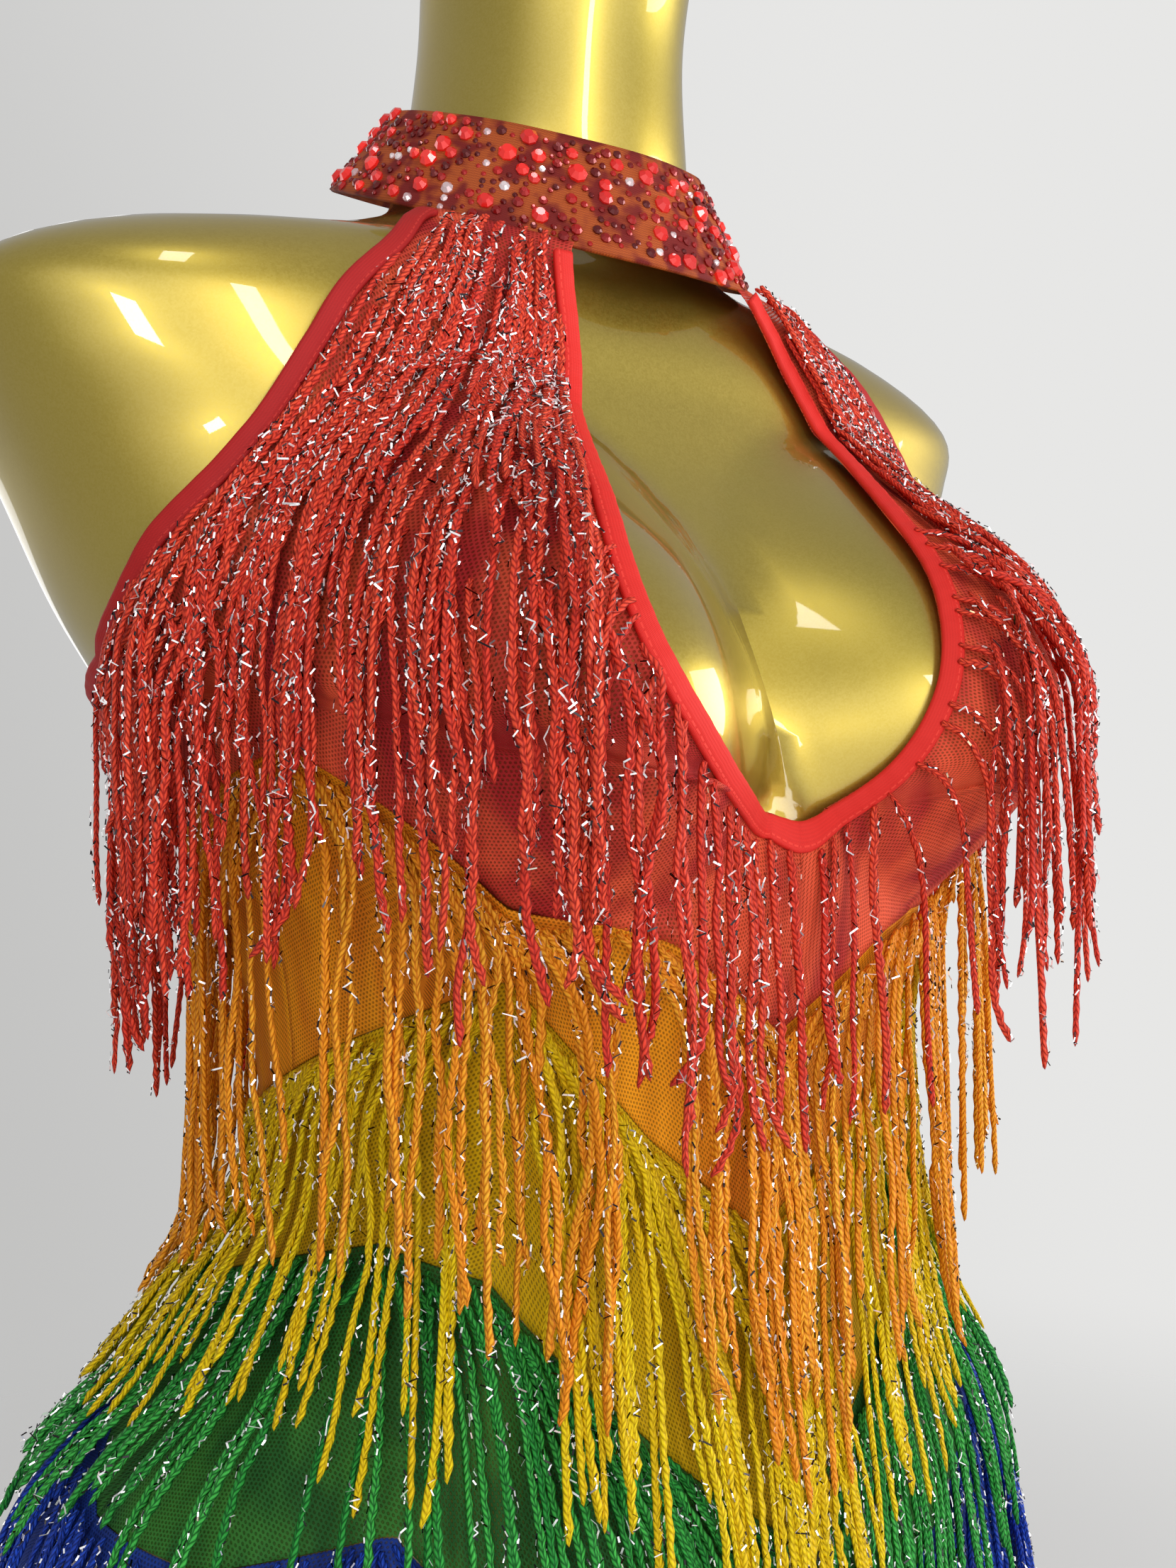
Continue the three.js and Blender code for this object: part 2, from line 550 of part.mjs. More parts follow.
const ringAngles = [...frontAngles.slice(1, -1), ...backAngles];
for (const { colour, seam, flare } of FRINGES) {
  const root = (angle) => levelPoint(angle, heightAt(SEAMS, seam, angle) - ROOT_DROP, FRINGE_LIFT);
  const columns = ringAngles.map((angle, i) => fall(root(angle), i, flare));
  add(`${colour}_fringe`, fringeWall(columns, true), COLOURS[colour]);
}

const backRoot = (angle) => levelPoint(angle, backTop(angle) - BINDING_WIDTH - ROOT_DROP, FRINGE_LIFT);
const backFringe = fringeWall(backColumns.map((angle, i) => fall(backRoot(angle), i, BACK_FLARE)), false);
add('red_fringe_back', backFringe, COLOURS.red);

// The red strands lie down the halter fronts from the collar and leave them under the bust.
function halterColumn(side, i) {
  const part = i / LAY.columns;
  const root = LAY.armRoot + (LAY.keyRoot - LAY.armRoot) * Math.max(0, 1 - part / LAY.spread);
  const laid = Array.from({ length: LAY.rows + 1 }, (_, j) => {
    const down = LAY.start + ((root - LAY.start) * j) / LAY.rows;
    const width = halterPoint(side, 0, down, 0).distanceTo(halterPoint(side, 1, down, 0));
    const edge = LAY.margin / width;
    return halterPoint(side, edge + (1 - 2 * edge) * part, down, LAY.lift);
  });
  return [...laid, ...fall(laid[LAY.rows], i, LAY.flare).slice(1)];
}
for (const side of SIDES) {
  const columns = Array.from({ length: LAY.columns + 1 }, (_, i) => halterColumn(side, i));
  add(`red_fringe_${side}`, onSide(side, fringeWall(columns, false)), COLOURS.red);
}

export default figure;
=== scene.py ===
import math

import bpy
import numpy as np
from mathutils import Matrix


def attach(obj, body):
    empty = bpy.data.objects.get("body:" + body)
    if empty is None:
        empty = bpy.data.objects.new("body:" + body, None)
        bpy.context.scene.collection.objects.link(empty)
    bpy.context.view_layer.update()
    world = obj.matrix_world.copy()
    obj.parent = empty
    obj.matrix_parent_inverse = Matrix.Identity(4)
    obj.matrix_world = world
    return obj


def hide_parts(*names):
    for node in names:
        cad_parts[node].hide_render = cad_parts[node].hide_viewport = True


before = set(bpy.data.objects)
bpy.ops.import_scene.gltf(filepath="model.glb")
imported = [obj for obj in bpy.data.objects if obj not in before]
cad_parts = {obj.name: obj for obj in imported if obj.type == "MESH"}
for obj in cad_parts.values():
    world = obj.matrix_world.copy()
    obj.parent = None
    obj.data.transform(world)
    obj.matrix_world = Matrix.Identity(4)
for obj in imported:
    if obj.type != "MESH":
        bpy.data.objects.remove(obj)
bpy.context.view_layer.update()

# ---------------------------------------------------------------- the display form
# A hollow moulded torso with no arms and no head, sprayed in a greenish gold metallic and
# lacquered to a deep gloss. It stands on its two cut thighs, and the cloth rests on it.
WAIST = np.array([0.0, 1.6, 310.0])  # mm, the waist's middle over the middle of the foot
SECTIONS = np.array([
    # z over the waist, half width, centre y, half depth, squareness
    (-150, 169, 11, 115, 2.25),
    (-120, 165, 11, 111, 2.25),
    (-85, 154, 9, 105, 2.25),
    (-42, 117, 1, 90, 2.25),
    (0, 96, -7, 81, 2.25),
    (42, 97, -10, 84, 2.25),
    (85, 105, -11, 95, 2.25),
    (127, 127, -1, 102, 2.25),
    (170, 152, 12, 98, 2.25),
    (208, 169, 19, 85, 2.4),
    (233, 182, 18, 75, 2.7),
    (254, 186, 16, 68, 2.7),
    (271, 157, 14, 60, 2.3),
    (284, 97, 12, 53, 1.7),
    (297, 58, 9, 53, 1.7),
    (318, 47, 3, 49, 2.0),
    (356, 41, -2, 46, 2.1),
    (395, 42, -9, 48, 2.1),
])
HIP, CROTCH, PELVIS = -150.0, -214.0, 2.4
BUST = dict(x=65, z=147, radius=65, above=85, below=64, rise=46.5, splay=0.18, fullness=1.3)
THIGH = dict(x=95, y=8, half_width=75, half_depth=90, top=-168, edge=1.2, edge_in=0.985)
NECK_ROUNDING = 9
TRUNK_SIDES, THIGH_SIDES = 144, 96
CAP_RINGS, BOWL_RINGS, RING_STEP = 9, 22, 3.5  # rings of the neck's cap and the hips' bowl; mm
SHARP_FROM = 38  # degrees, the turn from which an edge, such as the thighs' cut, stays sharp


def along(table, at):
    """A table's rows at heights between its own (column 0): a cubic that passes each row
    with the slope between the row's two neighbours."""
    z = table[:, 0]
    row = np.arange(len(z))
    before, after = np.maximum(row - 1, 0), np.minimum(row + 1, len(z) - 1)
    slope = (table[after] - table[before]) / (z[after] - z[before])[:, None]
    k = np.clip(np.searchsorted(z, at) - 1, 0, len(z) - 2)
    span = (z[k + 1] - z[k])[..., None]
    t = np.clip((at - z[k])[..., None] / span, 0, 1)
    s = t * t * (3 - 2 * t)
    bend = t * (1 - t) * ((1 - t) * slope[k] - t * slope[k + 1]) * span
    return table[k] * (1 - s) + table[k + 1] * s + bend


def section(z):
    """Half width, centre y, half depth and squareness at a height; under the hips the oval
    shrinks to nothing as a rounded bowl does."""
    row = along(SECTIONS, np.maximum(z, HIP))
    under = np.clip((HIP - z) / (HIP - CROTCH), 0, 0.999)
    shrink = (1 - under**PELVIS) ** (1 / PELVIS)
    return row[..., 1] * shrink, row[..., 2], row[..., 3] * shrink, row[..., 4]


def bust_rise(x, z):
    """How far the bust stands forward: a round hill over each breast's middle."""
    reach = np.where(z > BUST["z"], BUST["above"], BUST["below"])
    away = ((np.abs(x) - BUST["x"]) / BUST["radius"]) ** 2 + ((z - BUST["z"]) / reach) ** 2
    return BUST["rise"] * np.clip(1 - away, 0, 1) ** BUST["fullness"]


def body(angle, z):
    """The form's skin in mm: at an angle round the body (0 the front, 90 the figure's left)
    a rounded oval of that height's section, pushed forward by the bust."""
    half_width, centre_y, half_depth, square = section(z)
    s, c = np.sin(np.radians(angle)), np.cos(np.radians(angle))
    q = (np.abs(s) ** square + np.abs(c) ** square) ** (-1 / square)
    x = half_width * s * q
    rise = np.where(c > 0, bust_rise(x, z), 0)
    y = centre_y - half_depth * c * q - rise
    return np.stack([x + np.sign(x) * BUST["splay"] * rise, y, z + 0 * x], -1)


def unit(v):
    """Vectors over their own lengths."""
    return v / np.maximum(np.linalg.norm(v, axis=-1, keepdims=True), 1e-9)


def outward(angle, z):
    """The way the skin faces: the turn round the body crossed with the way up it."""
    turn = body(angle + 0.5, z) - body(angle - 0.5, z)
    way_up = body(angle, z + 0.5) - body(angle, z - 0.5)
    return unit(np.cross(turn, way_up))


def place(p):
    """The angle on the form beside a point, the inverse of body()."""
    z = np.maximum(p[..., 2], HIP)
    half_width, centre_y, half_depth, _ = section(z)
    rise = np.where(p[..., 1] < centre_y, bust_rise(p[..., 0], z), 0)
    x = p[..., 0] - np.sign(p[..., 0]) * BUST["splay"] * rise
    return np.degrees(np.arctan2(x / half_width, (centre_y - p[..., 1] - rise) / half_depth))


def mesh_piece(name, points, faces, corners=None, kinds=None, **tones):
    """A piece from arrays: points in mm over the waist, faces as (n, 3) or (n, 4) arrays,
    corners as the UV of each face's corners, and one tone a point."""
    mesh = bpy.data.meshes.new(name)
    points = (np.asarray(points, float).reshape(-1, 3) + WAIST) / 1000
    mesh.vertices.add(len(points))
    mesh.vertices.foreach_set("co", points.ravel())
    sizes = np.concatenate([np.full(len(f), f.shape[1]) for f in faces])
    loops = np.concatenate([f.ravel() for f in faces])
    mesh.loops.add(len(loops))
    mesh.loops.foreach_set("vertex_index", loops.astype(np.int32))
    mesh.polygons.add(len(sizes))
    starts = np.concatenate([[0], np.cumsum(sizes)[:-1]])
    mesh.polygons.foreach_set("loop_start", starts.astype(np.int32))
    if corners is not None:
        layer = mesh.uv_layers.new(name="cloth")
        places = np.concatenate([c.reshape(-1, 2) for c in corners])
        layer.data.foreach_set("uv", places.astype(np.float32).ravel())
    if kinds is not None:
        mesh.polygons.foreach_set("material_index", kinds.astype(np.int32))
    for label, tone in tones.items():
        attribute = mesh.attributes.new(label, "FLOAT", "POINT")
        attribute.data.foreach_set("value", tone.astype(np.float32).ravel())
    mesh.update(calc_edges=True)
    mesh.validate()
    mesh.shade_smooth()
    piece = bpy.data.objects.new(name, mesh)
    bpy.context.scene.collection.objects.link(piece)
    return piece


def grid_faces(rows, columns, closed=False):
    """Quads of a grid of points, row by row, whose columns run to the figure's left and
    whose rows run down, so that they face outwards."""
    wide = columns if closed else columns - 1
    j, i = np.meshgrid(np.arange(rows - 1), np.arange(wide), indexing="ij")
    upper, lower, right = j * columns, (j + 1) * columns, (i + 1) % columns
    return np.stack([upper + i, lower + i, lower + right, upper + right], -1).reshape(-1, 4)


def closed_stack(rings):
    """Rings of points from the top down, closed by a fan of triangles at each end."""
    rows, sides = rings.shape[:2]
    points = np.concatenate([rings.reshape(-1, 3), [rings[0].mean(0), rings[-1].mean(0)]])
    i = np.arange(sides)
    nxt = (i + 1) % sides
    top = np.stack([np.full(sides, rows * sides), i, nxt], -1)
    low = (rows - 1) * sides
    foot = np.stack([np.full(sides, rows * sides + 1), low + nxt, low + i], -1)
    return points, [grid_faces(rows, sides, True), top, foot]


def trunk_rings(sides):
    """Rings from the neck's rounded cap down to the crotch, closer where the form turns."""
    turn = np.linspace(0, np.pi / 2, CAP_RINGS)
    cap_z = SECTIONS[-1, 0] - NECK_ROUNDING * (1 - np.cos(turn))
    cap_in = 1 - NECK_ROUNDING / SECTIONS[-1, 1] * (1 - np.sin(turn))
    down_bowl = np.radians(np.linspace(4, 86, BOWL_RINGS))
    bowl = HIP - (HIP - CROTCH) * np.sin(down_bowl) ** (2 / PELVIS)
    middle = np.arange(SECTIONS[-1, 0] - NECK_ROUNDING - 3, HIP, -RING_STEP)
    z = np.concatenate([cap_z, middle, [HIP], bowl])
    inset = np.concatenate([cap_in, np.ones(len(z) - len(cap_in))])[:, None]
    angle = np.arange(sides) * 360 / sides
    height = np.broadcast_to(z[:, None], (len(z), sides))
    skin = body(angle[None, :] + 0 * height, height)
    centre_y = section(z)[1][:, None]
    return np.stack([skin[..., 0] * inset, centre_y + (skin[..., 1] - centre_y) * inset, height], -1)


def thigh_rings(side, sides):
    """An upright oval from inside the hips down to the flat cut, whose edge is just eased."""
    turn = np.radians(np.arange(sides) * 360 / sides)
    x = side * THIGH["x"] + THIGH["half_width"] * np.sin(turn)
    y = THIGH["y"] - THIGH["half_depth"] * np.cos(turn)
    z = np.array([THIGH["top"], -190, -220, -260, -300, -WAIST[2] + THIGH["edge"], -WAIST[2]])
    inset = np.array([1, 1, 1, 1, 1, 1, THIGH["edge_in"]])[:, None]
    centre = side * THIGH["x"]
    x = centre + (x[None] - centre) * inset
    y = THIGH["y"] + (y[None] - THIGH["y"]) * inset
    return np.stack([x, y, z[:, None] + 0 * x], -1)


class Shade:
    """A socket of a material. Arithmetic on it adds Math nodes, and node() adds any other
    node: its settings are set first, then its sockets are given values or links."""

    def __init__(self, tree, socket=None):
        self.tree, self.socket = tree, socket

    def node(self, kind, settings=None, sockets=None, out=0):
        made = self.tree.nodes.new("ShaderNode" + kind)
        for name, value in (settings or {}).items():
            setattr(made, name, value)
        for name, value in (sockets or {}).items():
            if isinstance(value, Shade):
                self.tree.links.new(value.socket, made.inputs[name])
            else:
                made.inputs[name].default_value = value
        return Shade(self.tree, made.outputs[out])

    def outputs(self):
        """Every output of the node that this one comes from."""
        return [Shade(self.tree, output) for output in self.socket.node.outputs]

    def math(self, operation, *values):
        return self.node("Math", {"operation": operation}, dict(enumerate(values)))

    def __add__(self, other):
        return self.math("ADD", self, other)

    def __sub__(self, other):
        return self.math("SUBTRACT", self, other)

    def __rsub__(self, other):
        return self.math("SUBTRACT", other, self)

    def __mul__(self, other):
        return self.math("MULTIPLY", self, other)

    def __truediv__(self, other):
        return self.math("DIVIDE", self, other)

    def __abs__(self):
        return self.math("ABSOLUTE", self)

    __radd__, __rmul__ = __add__, __mul__

    def part(self):
        """What is left of a number past the whole one below it."""
        return self.math("FRACT", self)

    def least(self, other):
        return self.math("MINIMUM", self, other)

    def step(self, low, high):
        """0 below low, 1 above high, smooth between them."""
        return self.node("MapRange", {"interpolation_type": "SMOOTHSTEP"}, {0: self, 1: low, 2: high})

    def mix(self, low, high):
        """A colour from low to high as this goes from 0 to 1."""
        low, high = (tone if isinstance(tone, Shade) else (*tone, 1) for tone in (low, high))
        return self.node("Mix", {"data_type": "RGBA"}, {0: self, 6: low, 7: high}, 2)


def new_finish(name, **constants):
    """A material, the start of its nodes, and a function that links its sockets."""
    material = bpy.data.materials.new(name)
    material.use_nodes = True
    shader = material.node_tree.nodes["Principled BSDF"]
    for socket, value in constants.items():
        shader.inputs[socket.replace("_", " ")].default_value = value

    def link(**sockets):
        for socket, value in sockets.items():
            material.node_tree.links.new(value.socket, shader.inputs[socket.replace("_", " ")])

    return material, Shade(material.node_tree), link


GOLD_TONES = ((0.515, 0.370, 0.043), (0.535, 0.410, 0.062))  # the warm and the greener patches
FLAKE_TONE = (0.86, 0.74, 0.26)
FLAKE_SCALE, PATCH_SCALE = 2100.0, 7.0  # flakes and patches in a metre


def gold_lacquer():
    """Fine metal flake under clear lacquer: the flake is a cell pattern half a millimetre
    across that tips the base, and a broad noise turns the gold a little greener."""
    material, start, link = new_finish(
        "gold_lacquer", Metallic=0.92, Coat_Weight=1.0, Coat_Roughness=0.03, Coat_IOR=1.5)
    place_on = start.node("TexCoord", out=3)
    broad = start.node("TexNoise", None, {"Vector": place_on, "Scale": PATCH_SCALE, "Detail": 2.0})
    flake = start.node("TexVoronoi", None, {"Vector": place_on, "Scale": FLAKE_SCALE}, out=1)
    grain = start.node("SeparateColor", None, {"Color": flake})
    tilt = start.node("Bump", None, {"Strength": 0.05, "Distance": 0.0002, "Height": grain})
    warm = broad.step(0.35, 0.65).mix(*GOLD_TONES)
    link(Base_Color=(grain * 0.10).mix(warm, FLAKE_TONE), Roughness=grain * 0.06 + 0.34, Normal=tilt)
    return material


trunk = mesh_piece("display_form", *closed_stack(trunk_rings(TRUNK_SIDES)))
for side in (-1, 1):
    thigh = mesh_piece("thigh", *closed_stack(thigh_rings(side, THIGH_SIDES)))
    union = trunk.modifiers.new("thigh", "BOOLEAN")
    union.operation, union.solver, union.object = "UNION", "EXACT", thigh
    joined = trunk.evaluated_get(bpy.context.evaluated_depsgraph_get())
    joined_mesh = bpy.data.meshes.new_from_object(joined)
    trunk.modifiers.clear()
    trunk.data = joined_mesh
    bpy.data.objects.remove(thigh)
trunk.data.shade_smooth()
trunk.data.set_sharp_from_angle(angle=math.radians(SHARP_FROM))
trunk.data.materials.clear()
trunk.data.materials.append(gold_lacquer())
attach(trunk, "root")
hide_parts("torso_form")

# ---------------------------------------------------------------- the net panels
# Fine hexagonal stretch net, one colour for each tier, cut as fronts and backs and joined
# edge to edge. It is held out over the form by its own stretch, with a few slack creases.
NET, NET_LIFT = 1.2, 2.4  # mm, the wall the cloth stands for, and its inner face off the skin
NET_SHELL = 0.3  # mm, the thin sheet that is shown in the middle of that wall
SEAM, HEM_LAP = 0.12, 0.7  # mm, half the gap at a seam, and the halter's lap over the next tier
SEAM_RIDGE = dict(height=0.35, width=3)  # mm, where the seam allowance doubles the cloth
SLACK, HALTER_SLACK = (-0.9, 2), (-0.9, 2.4)  # mm, the least and most a crease moves the cloth
PANEL_COLUMNS, HALTER_COLUMNS, HALTER_LINES = 116, 44, 112
SEAMS = np.array([
    # angle, red/orange, orange/yellow, yellow/green, green/blue: heights over the waist
    (0, 52, -6, -86, -140),
    (22, 78, 24, -47, -104),
    (45, 90, 69, -11, -68),
    (65, 130, 56, -3, -78),
    (90, 118, 41, -13, -76),
    (117, 86, 26, -26, -57),
    (180, 92, 32, -22, -68),
])
RED_ORANGE, ORANGE_YELLOW, YELLOW_GREEN, GREEN_BLUE = 1, 2, 3, 4
BACK_TOP = np.array([(90, 158), (113, 149), (140, 130), (180, 121)], float)
LEG_LINE = np.array([
    (0, -196), (6, -196), (30, -170), (60, -140), (90, -122),
    (120, -140), (150, -170), (174, -196), (180, -196)], float)
HALTER_ROWS = np.array([
    # row; keyhole angle of the left and the right front, height; armhole angles, height
    (0, 11.5, 10, 277, 30, 31, 279),
    (1, 15, 9.6, 252, 26, 29.5, 261),
    (2, 19.5, 11.5, 225, 35, 37.5, 229),
    (3, 17, 19, 193, 49, 50, 203),
    (4, 14.8, 24.4, 165, 63, 63.5, 185),
    (5, 12.6, 25.6, 140, 75, 75, 171),
    (6, 9.8, 19.6, 120, 90, 90, 158),
    (7, 5, 8, 109, 90, 90, 149),
    (8, 0, 0, 106, 90, 90, 142),
    (9, 0, 0, 96, 90, 90, 134),
    (10, 0, 0, 52, 90, 90, 118),
])
SIDES = {"left": 1, "right": -1}
# The neckband's edges: half width, half depth, centre y, height, and its drop in front.
COLLAR = dict(top=(47.5, 50.5, 0, 329.5, 20), bottom=(67, 66, 4, 300, 29))
# Where a front meets the band: the angles of its two edges, its drop from the band's lower edge
# in mm (less than 0: it runs up inside), and the share of its height over which it gets there.
COLLAR_SEAM = dict(key_turn=28, arm_turn=62, drop=-1.0, blend=0.115)
# Creases of each panel: from (angle, height) to (angle, height), width and height in mm.
CREASES = {
    "orange_front": [(-58, 118, -30, 44, 5, 1.7), (-36, 84, -12, 30, 6, 1.3), (48, 86, 22, 30, 5, 1.6),
                     (66, 112, 40, 66, 4, -0.9), (4, 48, 12, 4, 4, 1.1), (-72, 100, -60, 66, 4, 1.2)],
    "orange_back": [(100, 96, 130, 50, 5, 1.5), (176, 88, 168, 40, 4, -0.9), (258, 92, 226, 48, 6, 1.6),
                    (205, 84, 196, 46, 4, 1.0)],
    "yellow_front": [(-64, 46, -38, 2, 5, 1.5), (-20, 14, -8, -50, 5, 1.2), (40, 50, 58, 6, 6, 1.6),
                     (16, 8, 10, -44, 4, -0.8)],
    "yellow_back": [(104, 24, 140, -6, 5, 1.6), (186, 24, 176, -16, 4, 1.0), (250, 26, 222, -10, 5, 1.4)],
    "green_front": [(-60, -14, -72, -62, 6, 1.3), (-14, -70, -24, -92, 4, 1.0), (56, -16, 66, -66, 6, 1.5)],
    "green_back": [(112, -34, 122, -56, 5, 1.1), (196, -30, 204, -60, 5, 1.3), (244, -32, 236, -58, 4, 1.0)],
    "blue_front": [(-26, -112, -10, -180, 5, 1.6), (30, -116, 12, -176, 6, 1.5),
                   (-66, -86, -50, -122, 5, 1.2), (70, -84, 58, -118, 4, 1.0), (0, -146, 2, -190, 4, -0.9)],
    "blue_back": [(130, -74, 166, -160, 6, 1.7), (222, -76, 192, -166, 6, 1.5),
                  (180, -80, 180, -180, 4, -1.0), (108, -72, 116, -112, 5, 1.1),
                  (250, -72, 240, -116, 4, 1.2)],
    "red_back": [(108, 144, 122, 96, 4, 1.2), (184, 116, 178, 96, 4, 0.9), (252, 142, 236, 98, 5, 1.3)],
}
HALTER_CREASES = {
    # from (across, down) to (across, down) as shares of the front, width and height in mm
    "left": [(0.14, 0.80, 0.62, 0.72, 6, 1.6), (0.05, 0.90, 0.40, 0.97, 5, 1.3),
             (0.85, 0.62, 0.60, 0.90, 5, 1.5), (0.30, 0.10, 0.55, 0.36, 4, 0.9),
             (0.02, 0.86, 0.10, 0.99, 4, 1.2), (0.36, 0.44, 0.30, 0.88, 5, 1.9),
             (0.58, 0.50, 0.50, 0.92, 4, 1.5), (0.20, 0.40, 0.17, 0.70, 4, 1.2)],
    "right": [(0.10, 0.82, 0.50, 0.76, 5, 1.5), (0.06, 0.88, 0.30, 0.98, 6, 1.6),
              (0.90, 0.60, 0.68, 0.88, 5, 1.3), (0.50, 0.08, 0.62, 0.34, 4, 0.8),
              (0.03, 0.90, 0.17, 0.99, 3, 1.1), (0.26, 0.40, 0.24, 0.90, 4, 2.0),
              (0.40, 0.46, 0.33, 0.96, 5, 1.7), (0.52, 0.42, 0.47, 0.80, 4, 1.9),
              (0.68, 0.50, 0.62, 0.84, 5, 1.4), (0.14, 0.30, 0.15, 0.62, 3, 1.3)],
}
HALTER_SIZE = (90, 240)  # mm, about a front's width and height, by which its creases are sized


def seam_height(table, column, angle):
    """A seam's height at an angle, in straight runs; both sides are alike."""
    turn = np.abs((angle + 180) % 360 - 180)
    return np.interp(turn, table[:, 0], table[:, column])


def net_point(angle, z, lift):
    """A point over the form: the skin moved out along its own face by a lift in mm."""
    return body(angle, z) + outward(angle, z) * np.asarray(lift)[..., None]


def creased(across, up, creases):
    """Sum of the creases in mm: each is a ridge along a line, round in section, highest in
    its middle and gone at its ends."""
    lift = 0 * across
    for x0, y0, x1, y1, width, height in creases:
        dx, dy = x1 - x0, y1 - y0
        t = np.clip(((across - x0) * dx + (up - y0) * dy) / (dx * dx + dy * dy), 0, 1)
        bow = np.sin(np.pi * t)
        off = np.hypot(across - x0 - dx * t - bow * width * 0.5, up - y0 - dy * t)
        lift = lift + height * bow**0.7 * np.exp(-((off / width) ** 2))
    return lift


HOLE_PITCH = 1.3  # mm, from hole to hole
HANGING = (1, 1, 0.24)  # folds are long downwards
FOLD_SCALE = 62.0  # folds in a metre


def net_finish(name, thread, painted_shade):
    """Net of threads round hexagonal holes: the distance to the nearest of two interleaved grids of hole
    centres, open inside about 0.37 mm. Soft upright folds bump the net, and their hollows are painted darker
    as shade."""
    material, start, link = new_finish(name, Roughness=0.7, Specular_IOR_Level=0.2)
    across, up = cloth_place(start)
    tall = HOLE_PITCH * 1.732
    nearest = None
    for shift in (0.0, 0.5):
        x = ((across / HOLE_PITCH + shift).part() - 0.5) * HOLE_PITCH
        y = ((up / tall + shift).part() - 0.5) * tall
        square = x * x + y * y
        away = square.math("SQRT", square)
        nearest = away if nearest is None else nearest.least(away)
    thread_on = nearest.step(0.28, 0.46)
    place_on = start.node("TexCoord", out=3)
    hanging = start.node("VectorMath", {"operation": "MULTIPLY"}, {0: place_on, 1: HANGING})
    slack = start.node("TexNoise", None, {"Vector": hanging, "Scale": FOLD_SCALE})
    folds = start.node("Bump", None, {"Strength": 0.6, "Distance": 0.006, "Height": slack})
    tilt = start.node("Bump", None, {
        "Strength": 0.4, "Distance": 0.0003, "Height": thread_on, "Normal": folds})
    # painted shade: the hollows of the folds take the darker tone, and the ridges the thread's
    tone = slack.step(0.34, 0.66).mix(painted_shade, thread)
    link(Base_Color=tone, Alpha=thread_on * 0.62 + 0.36, Normal=tilt)
    return material


def cloth_place(start):
    """The place on the cloth in mm, from its own UV map, which is in decimetres."""
    uv = start.node("UVMap", {"uv_map": "cloth"})
    across, up, _ = start.node("SeparateXYZ", None, {"Vector": uv}).outputs()
    return across * 100, up * 100


def thin_cloth(name, points, material, thickness, closed=False):
    """A sheet from a grid of points, given its thickness both ways. Its UV is the real
    distance in decimetres, along each row and down each column."""
    rows, columns = points.shape[:2]
    ring = np.concatenate([points, points[:, :1]], 1) if closed else points
    u, v = np.zeros(ring.shape[:2]), np.zeros(ring.shape[:2])
    u[:, 1:] = np.cumsum(np.linalg.norm(np.diff(ring, axis=1), axis=2), 1) / 100
    v[1:] = -np.cumsum(np.linalg.norm(np.diff(ring, axis=0), axis=2), 0) / 100
    place_on = np.stack([u - u[:, u.shape[1] // 2, None], v], -1)
    upper, lower = place_on[:-1], place_on[1:]
    corners = np.stack([upper[:, :-1], lower[:, :-1], lower[:, 1:], upper[:, 1:]], 2)
    piece = mesh_piece(name, points, [grid_faces(rows, columns, closed)], [corners])
    wall = piece.modifiers.new("wall", "SOLIDIFY")
    wall.thickness, wall.offset = thickness / 1000, 0
    piece.data.materials.append(material)
    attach(piece, "root")
    return piece


def flat_cut(points, closed=False):
    """The cloth laid flat with its columns upright, in metres: its area, from the cross
    product of each face's two middle lines; its width square to the columns; and its length
    from its highest point to its lowest, with slanting edges counted."""
    ring = np.concatenate([points, points[:, :1]], 1) if closed else points
    steps, falls = np.diff(ring, axis=1) / 1000, np.diff(ring, axis=0) / 1000
    step, fall = (steps[1:] + steps[:-1]) / 2, (falls[:, 1:] + falls[:, :-1]) / 2
    upright = unit(fall)
    width = np.linalg.norm(np.cross(step, upright), axis=2)
    area = (width * np.linalg.norm(fall, axis=2)).sum()
    starts = np.concatenate([[0], np.cumsum((step[0] * upright[0]).sum(1))])
    ends = starts + np.linalg.norm(falls, axis=2).sum(0)
    return area, width.sum(1).max(), ends.max() - starts.min()


def cut_cloth(piece, points, closed=False, **pieces):
    area, width, length = flat_cut(points, closed)


NET_COLOURS = {
    # each colour: the net's thread, and the darker painted shade in the hollows of its folds
    "red": ((0.86, 0.120, 0.050), (0.46, 0.026, 0.026)),
    "orange": ((0.98, 0.40, 0.012), (0.74, 0.22, 0.008)),
    "yellow": ((0.84, 0.55, 0.004), (0.62, 0.36, 0.003)),
    "green": ((0.055, 0.24, 0.036), (0.020, 0.115, 0.022)),
    "blue": ((0.022, 0.07, 0.42), (0.012, 0.035, 0.23)),
}
nets = {colour: net_finish(f"{colour}_net", *tones) for colour, tones in NET_COLOURS.items()}
cloth_points = {}


def panel(name, colour, sides, rows, upper, lower):
    """A tier's front or back: columns by angle, rows between its two seams, lifted a little
    where the seam allowance doubles it."""
    angle = np.linspace(*sides, PANEL_COLUMNS)[None, :] + np.zeros((rows, 1))
    share = np.linspace(0, 1, rows)[:, None]
    top, low = upper(angle) - SEAM, lower(angle) + SEAM
    z = top + (low - top) * share
    edge = np.minimum(top - z, z - low)
    crease = np.clip(creased(angle, z, CREASES[name]), *SLACK)
    ridge = SEAM_RIDGE["height"] * np.exp(-((edge / SEAM_RIDGE["width"]) ** 2))
    lift = NET_LIFT + NET / 2 + crease + ridge
    cloth_points[name] = net_point(angle, z, lift)
    piece = thin_cloth(f"{name}_net", cloth_points[name], nets[colour], NET_SHELL)
    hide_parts(name)
    return piece


def seam_of(column):
    """The height of a seam between two colours, by angle."""
    return lambda angle: seam_height(SEAMS, column, angle)


def leg_line(angle):
    """The height of the leg's edge, by angle."""
    return seam_height(LEG_LINE, 1, angle)


def back_top(angle):
    """The height of the open back's edge, by angle."""
    return seam_height(BACK_TOP, 1, angle)


